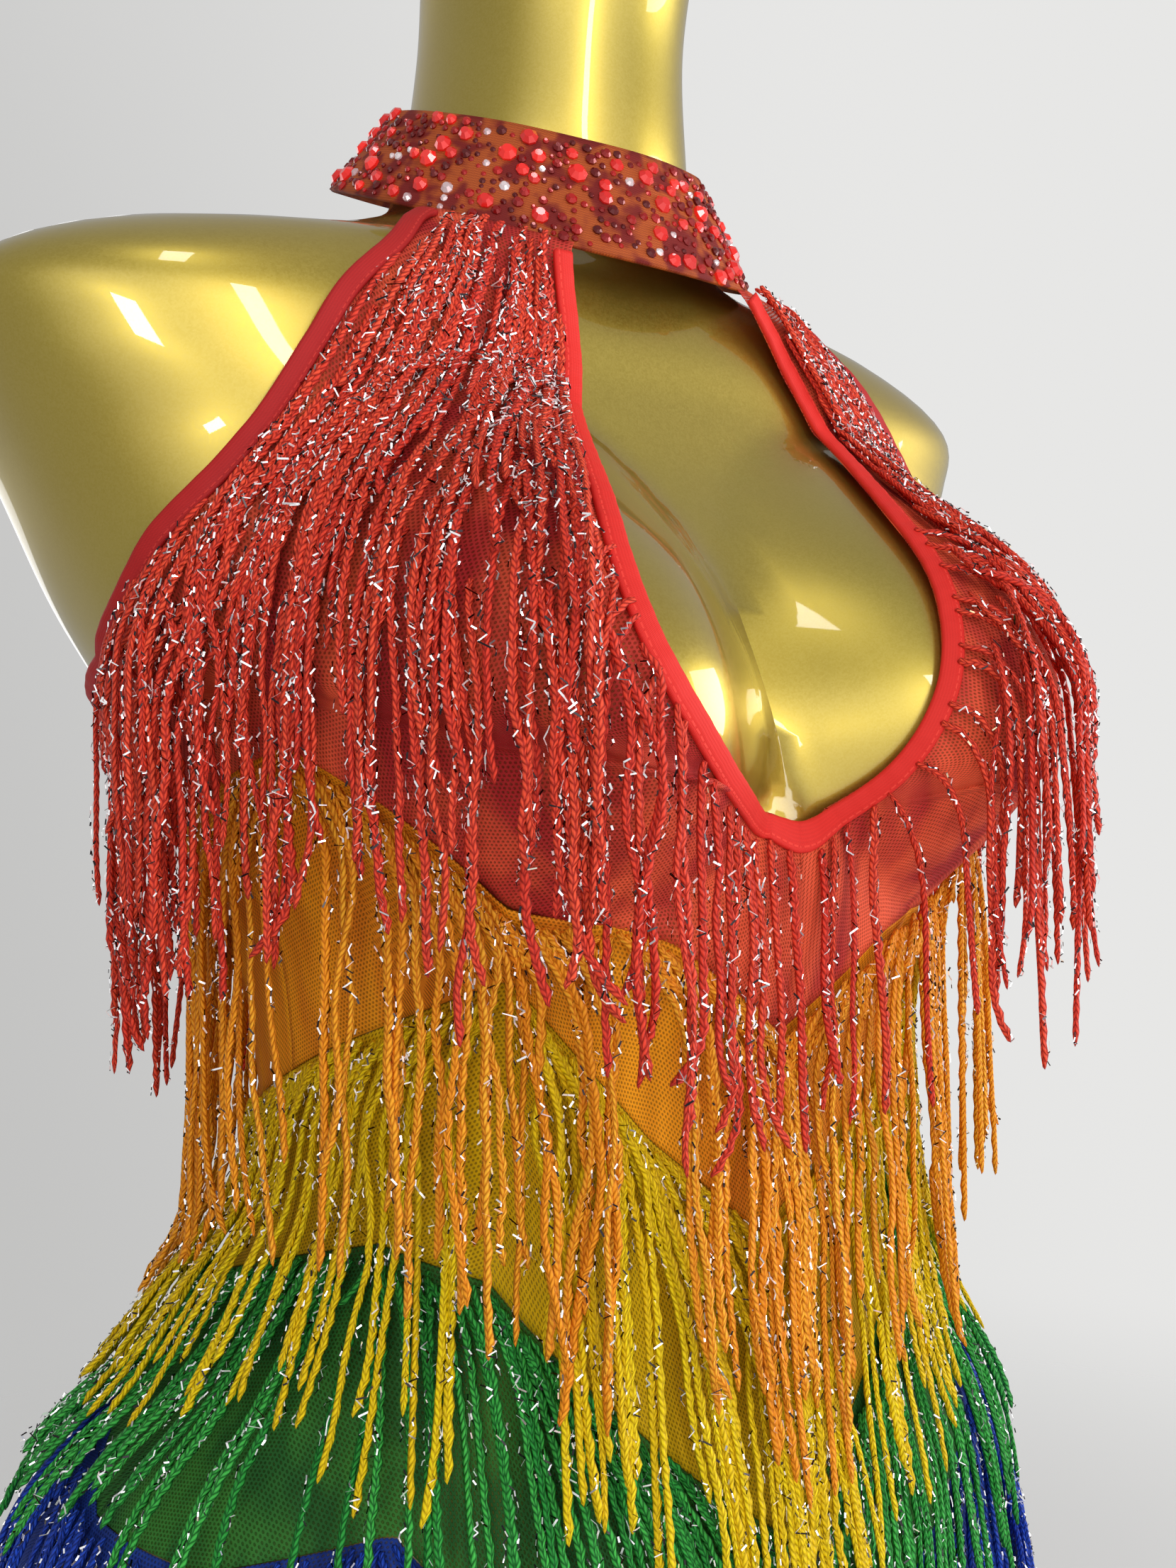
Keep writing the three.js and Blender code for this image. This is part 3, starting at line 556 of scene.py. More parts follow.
tiers = {
    "orange": (seam_of(RED_ORANGE), seam_of(ORANGE_YELLOW), 30),
    "yellow": (seam_of(ORANGE_YELLOW), seam_of(YELLOW_GREEN), 30),
    "green": (seam_of(YELLOW_GREEN), seam_of(GREEN_BLUE), 30),
    "blue": (seam_of(GREEN_BLUE), leg_line, 36),
}
cloth = {}
for colour, (upper, lower, rows) in tiers.items():
    cloth[f"{colour}_front"] = panel(f"{colour}_front", colour, (-90, 90), rows, upper, lower)
    cloth[f"{colour}_back"] = panel(f"{colour}_back", colour, (90, 270), rows, upper, lower)
cloth["red_back"] = panel("red_back", "red", (90, 270), 22, back_top, seam_of(RED_ORANGE))


def halter_place(side, across, down):
    """The angle and height on a halter front: rows cross it from keyhole to armhole."""
    row = along(HALTER_ROWS, down * HALTER_ROWS[-1, 0])
    key, arm = (row[..., 1], row[..., 4]) if side == "left" else (row[..., 2], row[..., 5])
    angle = np.clip(key * (1 - across) + arm * across, 0, 90)
    straight = row[..., 3] * (1 - across) + row[..., 6] * across
    lowest = HALTER_ROWS[-1, 3] * (1 - across) + HALTER_ROWS[-1, 6] * across
    return angle, straight + (seam_height(SEAMS, RED_ORANGE, angle) - HEM_LAP - lowest) * down**4


def collar_point(turn, down, lift):
    """The neckband: part of a leaning cone, wider at its lower edge and lower in front."""
    half_width, half_depth, centre_y, z, tilt = (
        top * (1 - down) + bottom * down for top, bottom in zip(COLLAR["top"], COLLAR["bottom"]))
    s, c = np.sin(np.radians(turn)), np.cos(np.radians(turn))
    return np.stack([(half_width + lift) * s, centre_y - (half_depth + lift) * c, z - tilt * c], -1)


def halter_point(side, across, down, lift):
    """A point of a halter front, made on the figure's left; its top leaves the chest to
    meet the neckband."""
    across, down = np.broadcast_arrays(np.asarray(across, float), np.asarray(down, float))
    angle, z = halter_place(side, across, down)
    top_angle, top_z = halter_place(side, across, 0 * down)
    turn = COLLAR_SEAM["key_turn"] * (1 - across) + COLLAR_SEAM["arm_turn"] * across
    edge = collar_point(turn, 1 + 0 * turn, 0) - [0, 0, COLLAR_SEAM["drop"]]
    weight = np.clip(1 - down / COLLAR_SEAM["blend"], 0, 1)[..., None] ** 1.5
    return net_point(angle, z, lift) + (edge - net_point(top_angle, top_z, 0 * top_z + NET_LIFT)) * weight


across, down = np.meshgrid(np.linspace(0, 1, HALTER_COLUMNS), np.linspace(0, 1, HALTER_LINES))
for side, flip in SIDES.items():
    sized = np.array(HALTER_CREASES[side]) * [*HALTER_SIZE, *HALTER_SIZE, 1, 1]
    crease = creased(across * HALTER_SIZE[0], down * HALTER_SIZE[1], sized)
    lift = NET_LIFT + NET / 2 + np.clip(crease, *HALTER_SLACK) + HEM_LAP * down**40
    points = halter_point(side, across, down, lift) * [flip, 1, 1]
    if flip < 0:
        points = points[:, ::-1]
    cloth_points[f"red_front_{side}"] = points
    piece = thin_cloth(f"red_front_{side}_net", points, nets["red"], NET_SHELL)
    cloth[f"red_front_{side}"] = piece
    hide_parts(f"red_front_{side}")


def under_point(x, turn, lift):
    """The form's underside between the thighs: a rounded bowl from front to back."""
    _, centre_y, half_depth, _ = section(np.float64(HIP))
    s, c = np.sin(np.radians(turn)), np.cos(np.radians(turn))
    q = (np.abs(s) ** PELVIS + c**PELVIS) ** (-1 / PELVIS)
    y = centre_y + (half_depth + lift) * s * q
    return np.stack([x + 0 * s, y, HIP - (HIP - CROTCH + lift) * c * q], -1)


GUSSET_HALF, GUSSET_TURN = 15, 46.6  # mm, half its width; degrees round the bowl to its ends
x, turn = np.meshgrid(
    np.linspace(-GUSSET_HALF, GUSSET_HALF, 16), np.linspace(-GUSSET_TURN, GUSSET_TURN, 60))
cloth_points["gusset"] = under_point(x, turn, NET_LIFT + NET / 2)
cloth["gusset"] = thin_cloth("gusset_net", cloth_points["gusset"], nets["blue"], NET_SHELL)
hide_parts("gusset")

# ---------------------------------------------------------------- the bindings
# Folded stretch binding, 6.5 mm wide, sewn over every raw edge of the net with one row of
# stitches near its outer side: red round the keyhole and armholes, blue round the legs. The
# keyhole's is one strip that starts and ends at the neckband and turns in a soft V below.
BINDING_WIDTH, BINDING_WALL, BINDING_LIFT = 6.5, 2.3, 2.6  # mm; the lift is its inner face's
BINDING_SIDES, RIPPLE = 14, 0.07  # sides of its section; the share by which its wall varies
RIB_EVERY, WEAVE_EVERY = 1.25, 2.2  # ribs and slanting threads in a millimetre
STITCH, STITCH_IN = 2.4, 0.81  # mm, one stitch and its gap; how far across the strip they run
# The turn of the keyhole's strip, in mm: how much wider it gets and over what reach, how far its
# corners are rounded, the seam in it and how deeply that pinches, and the hem that carries cords.
KEYHOLE_V = dict(wider=2.2, reach=9.0, soften=6.0, seam=0.6, pinch=0.5, hem=128)
HEM_CLEAR = 0.6  # mm, from the strip's outer side to the line that its cords hang from
STRIP_STARTS = 0.02  # share of a front's height at which a strip comes out of the neckband


def binding_finish(name, tone, shade, stitch):
    """Fine ribs along the length, painted darker between them as shade, and short raised stitches in a line
    near one side.
    """
    material, start, link = new_finish(name, Roughness=0.62, Specular_IOR_Level=0.25)
    across, along_it = cloth_place(start)
    rib = abs((across * RIB_EVERY).part() - 0.5) * 2
    weave = abs((along_it * WEAVE_EVERY + across * (WEAVE_EVERY / 2)).part() - 0.5) * 2
    from_line = abs(across - BINDING_WIDTH * STITCH_IN)
    dash = 1 - abs((along_it / STITCH).part() - 0.5).step(0.3, 0.42)
    stitches = (1 - from_line.step(0.16, 0.34)) * dash
    gutter = 1 - from_line.step(0.3, 0.9)
    height = rib * 0.2 + weave * 0.25 + stitches * 0.6 - gutter * 0.7
    tilt = start.node("Bump", None, {"Strength": 0.6, "Distance": 0.0003, "Height": height})
    uneven_tone = start.node("TexNoise", None, {"Vector": start.node("TexCoord", out=3), "Scale": 60.0})
    # painted shade: between the ribs and the slanting threads the colour goes to the shade tone; a random
    # noise also varies it
    ground = (rib * 0.35 + weave * 0.35 + uneven_tone * 0.3).mix(shade, tone)
    link(Base_Color=stitches.mix(ground, stitch), Normal=tilt)
    return material


BINDING_TONES = {
    # the tops of the ribs, the painted shade between them, the stitches
    "keyhole": ((0.80, 0.030, 0.022), (0.64, 0.018, 0.014), (0.86, 0.05, 0.035)),
    # the armhole's strip is a darker copy of the keyhole's red: painted shade at the figure's sides
    "armhole": ((0.50, 0.016, 0.016), (0.34, 0.010, 0.012), (0.56, 0.03, 0.025)),
    "leg": ((0.03, 0.11, 0.55), (0.02, 0.07, 0.38), (0.05, 0.16, 0.68)),
}
binding_finishes = {
    kind: binding_finish(f"{kind}_binding", *tones) for kind, tones in BINDING_TONES.items()}


def line_run(points, closed=False):
    """How far along a line each of its points is, in mm, and back at the start if closed."""
    line = np.concatenate([points, points[:1]]) if closed else points
    return np.concatenate([[0], np.cumsum(np.linalg.norm(np.diff(line, axis=0), axis=1))])


def binding(name, kind, edge, facing, aside, width, closed, pinch=1.0):
    """A strip along an edge: its section is a flat loop with rounded sides, carried along
    the edge's points with facing as its up and aside as its way across."""
    turn = np.arange(BINDING_SIDES) * 2 * np.pi / BINDING_SIDES
    flat_x = np.sign(np.cos(turn)) * np.abs(np.cos(turn)) ** 0.45 * 0.5 + 0.5
    flat_y = np.sign(np.sin(turn)) * np.abs(np.sin(turn)) ** 0.7 * 0.5 + 0.5
    number = np.arange(len(edge))
    ripple = 1 + RIPPLE * np.sin(number * 0.9) * np.sin(number * 0.37)
    spread = (width[:, None] * flat_x[None, :])[..., None]
    rise = (BINDING_WALL * (ripple * pinch)[:, None] * flat_y[None, :])[..., None]
    ring = edge[:, None] + aside[:, None] * spread + facing[:, None] * rise
    rows, sides = ring.shape[:2]
    run = line_run(ring[:, 0], closed) / 100
    j, k = np.meshgrid(np.arange(rows if closed else rows - 1), np.arange(sides), indexing="ij")
    here, onward, nxt = j * sides, (j + 1) % rows * sides, (k + 1) % sides
    quads = np.stack([here + k, here + nxt, onward + nxt, onward + k], -1).reshape(-1, 4)
    over = np.concatenate([flat_x, flat_x[:1]]) * BINDING_WIDTH / 100
    round_quad = ((0, 0), (0, 1), (1, 1), (1, 0))
    corners = np.stack([np.stack([over[k + b], run[j + a]], -1) for a, b in round_quad], 2)
    faces = [quads]
    uvs = [corners]
    if not closed:
        ends = np.stack([np.arange(sides)[::-1], (rows - 1) * sides + np.arange(sides)])
        faces.append(ends)
        uvs.append(np.zeros((2, sides, 2)) + 0.02)
    piece = mesh_piece(name, ring, faces, uvs)
    # On one side of the body the section runs the other way round, and is turned to face out.
    along_it, round_it = ring[1, 0] - ring[0, 0], ring[0, 3] - ring[0, 0]
    if np.dot(np.cross(round_it, along_it), ring[0, 3] - ring[0].mean(0)) < 0:
        piece.data.flip_normals()
    piece.data.materials.append(binding_finishes[kind])
    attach(piece, "root")
    return piece


def smooth_run(points, count):
    """Points respaced evenly along their line."""
    run = line_run(points)
    at = np.linspace(0, run[-1], count)
    return np.stack([np.interp(at, run, points[:, k]) for k in range(3)], 1)


def aside_of(edge, facing, inside, closed=False):
    """Across the strip: square to the edge and the facing, on the side the cloth is on."""
    if closed:
        onward = np.roll(edge, -1, 0) - np.roll(edge, 1, 0)
    else:
        onward = np.gradient(edge, axis=0)
    return unit(np.cross(onward, facing)) * inside


def softened(points, reach):
    """The line with its corners rounded: each point the mean of those within a reach of it,
    weighted by a bell, and the two ends kept."""
    step = np.linalg.norm(np.diff(points, axis=0), axis=1).mean()
    span = int(2 * reach / step)
    bell = np.exp(-((np.arange(-span, span + 1) * step / reach) ** 2))
    before, after = 2 * points[:1] - points[span:0:-1], 2 * points[-1:] - points[-2:-span - 2:-1]
    padded = np.concatenate([before, points, after])
    return np.stack([np.convolve(padded[:, k], bell / bell.sum(), "valid") for k in range(3)], 1)


bindings = {}
# The keyhole's strip: down the left front's edge, round the V and up the right front's.
down = np.linspace(STRIP_STARTS, 0.8, 160)
left, right = (
    halter_point(side, 0 * down, down, BINDING_LIFT) * [flip, 1, 1] for side, flip in SIDES.items())
edge = softened(smooth_run(np.concatenate([left, right[-2::-1]]), 420), KEYHOLE_V["soften"])
run = line_run(edge)
from_v = run - run[np.argmin(edge[:, 2])]
facing = outward(place(edge), edge[:, 2])
aside = aside_of(edge, facing, -1)
width = BINDING_WIDTH + KEYHOLE_V["wider"] * np.exp(-((from_v / KEYHOLE_V["reach"]) ** 2))
pinch = 1 - KEYHOLE_V["pinch"] * np.exp(-((from_v / KEYHOLE_V["seam"]) ** 2))
bindings["keyhole"] = binding("keyhole_edge", "keyhole", edge, facing, aside, width, False, pinch)
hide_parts("keyhole_binding_left", "keyhole_binding_right")
outer = edge + aside * (width + HEM_CLEAR)[:, None]
KEYHOLE_HEM = {"left": outer[outer[:, 0] > 1], "right": (outer[outer[:, 0] < -1] * [-1, 1, 1])[::-1]}

for side, flip in SIDES.items():
    # The armhole's strip: down the front's outer edge and on round half of the open back.
    flip = np.array([flip, 1, 1])
    front = halter_point(side, 1, np.linspace(STRIP_STARTS, 0.6, 110), BINDING_LIFT)
    turn = np.linspace(91.5, 180, 90)
    back = net_point(turn, back_top(turn), BINDING_LIFT + 0 * turn)
    edge = smooth_run(np.concatenate([front, back]), 230)
    facing = outward(place(edge), edge[:, 2])
    aside = aside_of(edge, facing, 1)
    edge[:, 0] = np.maximum(edge[:, 0], 0.05)
    width = np.full(len(edge), BINDING_WIDTH - 0.5)
    name = f"armhole_{side}"
    bindings[name] = binding(
        f"{name}_edge", "armhole", edge * flip, facing * flip, aside * flip, width, False)
    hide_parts(f"armhole_binding_{side}")

    # The leg's strip: round the leg line from behind and back along the gusset's side.
    turn = np.linspace(174, 6, 150)
    outer = net_point(turn, leg_line(turn), BINDING_LIFT + 0 * turn)
    under = np.linspace(-GUSSET_TURN, GUSSET_TURN, 40)[1:-1]
    beside = np.full(len(under), GUSSET_HALF)
    inner = under_point(beside, under, BINDING_LIFT)
    edge = np.concatenate([outer, inner])
    under_face = unit(under_point(beside, under, 9.0) - inner)
    facing = np.concatenate([outward(turn, leg_line(turn)), under_face])
    aside = aside_of(edge, facing, -1, True)
    aside[-len(under):] = [-1, 0, 0]
    width = np.full(len(edge), BINDING_WIDTH)
    name = f"leg_{side}"
    bindings[name] = binding(f"{name}_edge", "leg", edge * flip, facing * flip, aside * flip, width, True)
    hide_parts(f"leg_binding_{side}")

# ---------------------------------------------------------------- the neckband
# A stand-up band of nude net doubled over, edged by its own fold and covered in glued red
# rhinestones of four sizes, with a few clear ones among them. It closes behind.
CLOSE_PITCH = 0.9  # mm, from hole to hole of the close net
BAND_WALL, BAND_LIFT, STONE_LIFT = 1.2, 0.7, 1.4  # mm; the lifts are off the leaning cone


def neckband_finish():
    """Close net in a warm brown, a darker red in random patches."""
    material, start, link = new_finish("neckband_net", Roughness=0.65, Specular_IOR_Level=0.2)
    across, up = cloth_place(start)
    mesh_x = abs((across / CLOSE_PITCH).part() - 0.5)
    mesh_y = abs((up / CLOSE_PITCH).part() - 0.5)
    weave = (mesh_x + mesh_y).step(0.2, 0.7)
    place_on = start.node("TexCoord", out=3)
    dark_patches = start.node("TexNoise", None, {"Vector": place_on, "Scale": 110.0, "Detail": 2.0})
    ground = dark_patches.step(0.40, 0.58).mix((0.20, 0.016, 0.014), (0.50, 0.105, 0.022))
    tilt = start.node("Bump", None, {"Strength": 0.5, "Distance": 0.0002, "Height": weave})
    link(Base_Color=(weave * 0.4).mix(ground, (0.16, 0.012, 0.01)), Normal=tilt)
    return material


turn, down = np.meshgrid(np.linspace(0, 360, 180, endpoint=False), np.linspace(0, 1, 16))
# The band stands a little uneven, by waves of under 1 mm round it.
band_wave = 0.9 * np.sin(np.radians(turn) * 3 + 0.6) * down + 0.5 * np.sin(np.radians(turn) * 7 + 2)
band_points = collar_point(turn, down, BAND_LIFT + band_wave * 0.5)
neckband = thin_cloth("neckband", band_points, neckband_finish(), BAND_WALL, closed=True)
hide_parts("collar")


def stone_finish(name, tone, dark, **constants):
    """Foil-backed glass: a clear coat over a tone that runs from dark to bright from stone to stone, a
    painted sparkle, and the same tone painted on as a glow from inside."""
    material, start, link = new_finish(name, Roughness=0.12, Coat_Roughness=0.03, **constants)
    spark = start.node("Attribute", {"attribute_name": "spark"}, None, 2)
    tone = spark.mix(dark, tone)
    # painted light: spark picks each stone's tone between dark and bright, and that tone also glows
    link(Base_Color=tone, Emission_Color=tone)
    return material


STONE_SIDES, TRIES = 8, 60  # places tried for a stone before it is left out
ROUND = 6.28  # a full turn, for whatever starts at random
STONE_LEVELS = ((0.92, -0.15), (1.0, 0.28), (0.52, 0.78))  # foot, girdle, table: out and up
taken = []  # the place, radius, turn and share of the way down of each stone so far


def rhinestones(name, sizes, seed, material):
    """Flat-backed stones: eight-sided tables on eight-sided girdles, turned at random and
    kept clear of each other by trying places until they fit."""
    draw = np.random.default_rng(seed)
    first = len(taken)
    for radius in sizes:
        for _ in range(TRIES):
            turn, down = draw.uniform(0, 360), draw.uniform(0.05, 0.95)
            wave = 0.45 * np.sin(np.radians(turn) * 3 + 0.6) * down
            at = collar_point(np.float64(turn), np.float64(down), STONE_LIFT + wave)
            if all(np.linalg.norm(at - other) > (radius + r) * 1.02 for other, r, _, _ in taken):
                taken.append((at, radius, turn, down))
                break
    at, radius, turn, down = (np.array(column) for column in zip(*taken[first:]))
    side = unit(collar_point(turn + 1, down, STONE_LIFT) - collar_point(turn - 1, down, STONE_LIFT))
    fall = unit(collar_point(turn, down + 0.02, STONE_LIFT) - collar_point(turn, down - 0.02, STONE_LIFT))
    up = unit(np.cross(fall, side))
    up = unit(up + draw.normal(0, 0.05, up.shape))
    k = np.arange(STONE_SIDES)
    phase = draw.uniform(0, ROUND, len(at))[:, None] + k[None] * 2 * np.pi / STONE_SIDES
    spoke = side[:, None] * np.cos(phase)[..., None] - fall[:, None] * np.sin(phase)[..., None]
    r = radius[:, None, None]
    rings = [at[:, None] + spoke * r * wide + (up[:, None] * r * high) for wide, high in STONE_LEVELS]
    each = STONE_SIDES * len(rings)
    nxt = (k + 1) % STONE_SIDES
    base = (np.arange(len(at)) * each)[:, None]
    wall = np.concatenate([
        np.stack([low + k, low + nxt, low + STONE_SIDES + nxt, low + STONE_SIDES + k], -1)
        for low in (0, STONE_SIDES)])
    quads = (base[..., None] + wall[None]).reshape(-1, 4)
    table = base + each - STONE_SIDES + k[None]
    foot = base + k[None, ::-1]
    spark = np.repeat(draw.uniform(0, 1, len(at)) ** 1.6, each)
    piece = mesh_piece(name, np.concatenate(rings, 1), [quads, table, foot], spark=spark)
    piece.data.shade_flat()
    piece.data.materials.append(material)
    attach(piece, "root")
    return piece


STONES = {
    # kinds (least and most radius in mm, count), seed, bright and dark tone of the painted sparkle, metal,
    # coat, painted glow
    "large": (((2.6, 3.1, 46), (1.9, 2.4, 60)), 5,
              (0.94, 0.020, 0.012), (0.62, 0.012, 0.010), 0.2, 0.8, 0.28),
    "clear": (((1.0, 2.1, 34),), 6,
              (0.95, 0.86, 0.88), (0.62, 0.40, 0.42), 0.6, 1.0, 0.2),
    "small": (((1.35, 1.8, 190), (0.8, 1.1, 430)), 7,
              (0.60, 0.015, 0.014), (0.12, 0.005, 0.006), 0.3, 0.25, 0.0),
}
rng = np.random.default_rng(11)
stones = []
for name, (kinds, seed, bright, dark, metal, coat, painted_glow) in STONES.items():
    sizes = np.concatenate([rng.uniform(*kind) for kind in kinds])
    finish = stone_finish(
        f"{name}_stone", bright, dark, Metallic=metal, Coat_Weight=coat, Emission_Strength=painted_glow)
    stones.append(rhinestones(f"{name}_rhinestones", sizes, seed, finish))
cut_cloth(neckband, band_points, True, rests_on=["display_form"], with_pieces=stones)

# ---------------------------------------------------------------- the fringe
# Rows of chain-stitched rayon cord, a little flat, sewn through their folded tops along each
# colour seam and in rows down the red fronts. Silver tinsel runs beside each cord and works
# loose in bright arcs. The cords hang straight, or lie on the body where it swells.
LINK = 2.0  # mm, one chain stitch
CORD_HALF_WIDTH, CORD_HALF_DEPTH = 1.15, 0.85  # mm
CORD_SIDES, CORD_POINTS, FOLD_POINTS = 5, 36, 10
CORD_LENGTH, FOLD_LENGTH, FOLD_LAY = 118, 16, 3.5  # mm, mm, and how far a fold lies along its seam
TINSEL_BITS = 5  # straight bits in one loose run of tinsel
TIER_RUNS, HALTER_RUNS = (10, 1), (14,)  # such runs on each cord, and on each fold
ROOT_DROP, ROOT_STIFF = 3, 22  # mm, a root under its seam, and the stiff part beside it
ROOT_UNEVEN, HALTER_UNEVEN = 2.2, 2.4  # mm, the most that a root stands off beyond the nearest
TIER_FALL = 60  # mm, over which a cord rises on the next tier
LAID_HOLD, HALTER_HOLD, HANGING_HOLD = 0.93, 0.95, 0.6  # share of a step's way kept by the next
DOWN = np.array([0.0, 0.0, -1.0])


def cord_finish(name, bright, dull, painted_shade):
    """Chain stitch: two columns of slanting stitches a side, the slant made by moving each link's start along
    the cord with the distance round it, and painted shade darkening the grooves between."""
    material, start, link = new_finish(name, Roughness=0.6, Specular_IOR_Level=0.22)
    round_it, run = cloth_place(start)
    column = abs((round_it / 50).part() - 0.5) * 2  # two columns in a way round of 100
    stitch = abs((run / LINK + column * 0.9).part() - 0.5) * 2
    plump = 1 - stitch.math("POWER", stitch, 2.2)
    groove = column.step(0.02, 0.22) * (1 - column.step(0.82, 0.98))
    height = plump * 0.75 + groove * 0.25
    tone = start.node("Attribute", {"attribute_name": "tone"}, None, 2)
    fibre = start.node("TexNoise", None, {"Vector": start.node("TexCoord", out=3), "Scale": 900.0})
    lit = plump * groove * 0.8 + fibre * 0.2
    ground = tone.mix(dull, bright)
    tilt = start.node("Bump", None, {"Strength": 0.9, "Distance": 0.0006, "Height": height})
    # painted shade: away from each stitch's plump top and in the grooves, the colour goes to the darker tone
    link(Base_Color=lit.mix(painted_shade, ground), Normal=tilt)
    return material


def tinsel_finish():
    """Silvered film with painted glints: facets given a high tone are white and glow as painted light, the
    others near black as painted shade, whichever way they face.
    """
    material, start, link = new_finish("silver_tinsel", Metallic=1.0, Emission_Strength=0.4)
    tone = start.node("Attribute", {"attribute_name": "tone"}, None, 2)
    lit = tone.step(0.42, 0.58)
    # painted light: high tones give white with a white glow, low ones near black
    link(Base_Color=lit.mix((0.05, 0.045, 0.05), (0.97, 0.97, 1.0)), Roughness=tone * 0.12 + 0.14,
         Emission_Color=lit.mix((0.0, 0.0, 0.0), (1.0, 1.0, 1.0)))
    return material


CORD_TONES = {
    # the brightest cords, the dullest, and the painted shade in the grooves between stitches
    "red": ((1.0, 0.105, 0.042), (0.86, 0.052, 0.026), (0.42, 0.018, 0.014)),
    "orange": ((1.0, 0.50, 0.030), (0.98, 0.36, 0.014), (0.76, 0.200, 0.006)),
    "yellow": ((0.98, 0.76, 0.004), (0.90, 0.60, 0.003), (0.66, 0.42, 0.003)),
    "green": ((0.075, 0.60, 0.09), (0.025, 0.36, 0.05), (0.006, 0.10, 0.016)),
    "blue": ((0.02, 0.10, 0.75), (0.014, 0.06, 0.50), (0.006, 0.016, 0.15)),
}
tinsel = tinsel_finish()
cord_finishes = {colour: cord_finish(f"{colour}_cord", *tones) for colour, tones in CORD_TONES.items()}


def let_fall(root, heading, length, lift, rise, hold, draw, points=CORD_POINTS, lean=0.0, limits=None):
    """The lines of many cords, (cord, point, 3). Each step keeps part of the last step's way,
    by hold while the cord lies on the cloth or is near its root and less once it hangs, and
    turns the rest to the floor with a slow sway; one tip in three curls. Its lift grows by
    rise over the next tier: nearer the skin than that it is pushed out, and where the skin
    faces up it stays on it."""
    count = len(root)
    steps = points - 1
    stride = (length / steps)[:, None]
    sway_at = draw.uniform(0, ROUND, (count, 3))
    sway_run = draw.uniform(20, 75, (count, 3))
    sway = draw.normal(0, 1, (count, 3)) * [0.14, 0.09, 0.06]
    curl = draw.normal(0, 1, (count, 2)) * (draw.random((count, 1)) < 0.35) * 0.75
    p, way = root.copy(), heading.copy()
    line = [p]
    lies = np.ones(count, bool)
    for k in range(1, points):
        fallen = length * k / steps
        share = k / steps
        keep = np.where(lies | (fallen < ROOT_STIFF), hold, HANGING_HOLD)[:, None]
        radial = unit(np.stack([p[:, 0], p[:, 1], 0 * p[:, 0]], 1))
        level = np.stack([-radial[:, 1], radial[:, 0], 0 * p[:, 0]], 1)
        drift = (sway * np.sin(sway_at + fallen[:, None] / sway_run * ROUND)).sum(1)
        drift = drift + lean * share
        drift = drift + curl[:, 0] * max(0, share - 0.78) * 4
        out = sway[:, :1] * 0.35 + curl[:, 1:] * max(0, share - 0.8) * 2
        aim = unit(DOWN + level * drift[:, None] + radial * out)
        way = unit(way * keep + aim * (1 - keep))
        q = p + way * stride
        for _ in range(2):
            z = np.maximum(q[:, 2], HIP)
            angle = place(q)
            if limits is not None:
                held = np.clip(angle, *limits(z))
                q = q + body(held, z) - body(angle, z)
                angle = held
            skin = body(angle, z)
            face = outward(angle, z)
            below = (q[:, 2] < HIP)[:, None]
            face = np.where(below, unit(face * [1, 1, 0]), face)
            skin[:, 2] = np.where(below[:, 0], q[:, 2], skin[:, 2])
            want = lift + rise * np.minimum(1, fallen / TIER_FALL)
            short = want - ((q - skin) * face).sum(1)
            lies = (short > -1.5) & (face[:, 2] > -0.1)
            q = q + face * np.where(lies, short, np.maximum(short, 0))[:, None]
            q = p + unit(q - p) * stride
        way = unit(q - p)
        line.append(q)
        p = q
    return np.stack(line, 1)


CLUMP_GAP, CLUMP_ENDS = 12, 0.4  # mm between roots that always parts clumps; chance that others do


def gathered(lines, pull, draw):
    """Cords drawn together in small clumps: each moves towards its clump's middle, more
    towards its tip, by the square of the way down."""
    share = np.linspace(0, 1, lines.shape[1])[None, :, None] ** 2
    apart = np.linalg.norm(np.diff(lines[:, 0], axis=0, prepend=lines[:1, 0]), axis=1) > CLUMP_GAP
    which = np.cumsum(apart | (draw.random(len(lines)) < CLUMP_ENDS))
    moved = lines.copy()
    for label in np.unique(which):
        mine = which == label
        centre = lines[mine].mean(0, keepdims=True)
        shift = (centre - lines[mine]) * [1, 1, 0]
        moved[mine] += shift * share * pull
    return moved


def frames(lines):
    """Each line's way, its face away from the body's middle, and the way across."""
    way = unit(np.gradient(lines, axis=1))
    centre_y = section(np.maximum(lines[..., 2], HIP))[1]
    away = unit(np.stack([lines[..., 0], lines[..., 1] - centre_y, 0 * centre_y + 6.0], -1))
    across = unit(np.cross(away, way))
    return way, np.cross(way, across), across


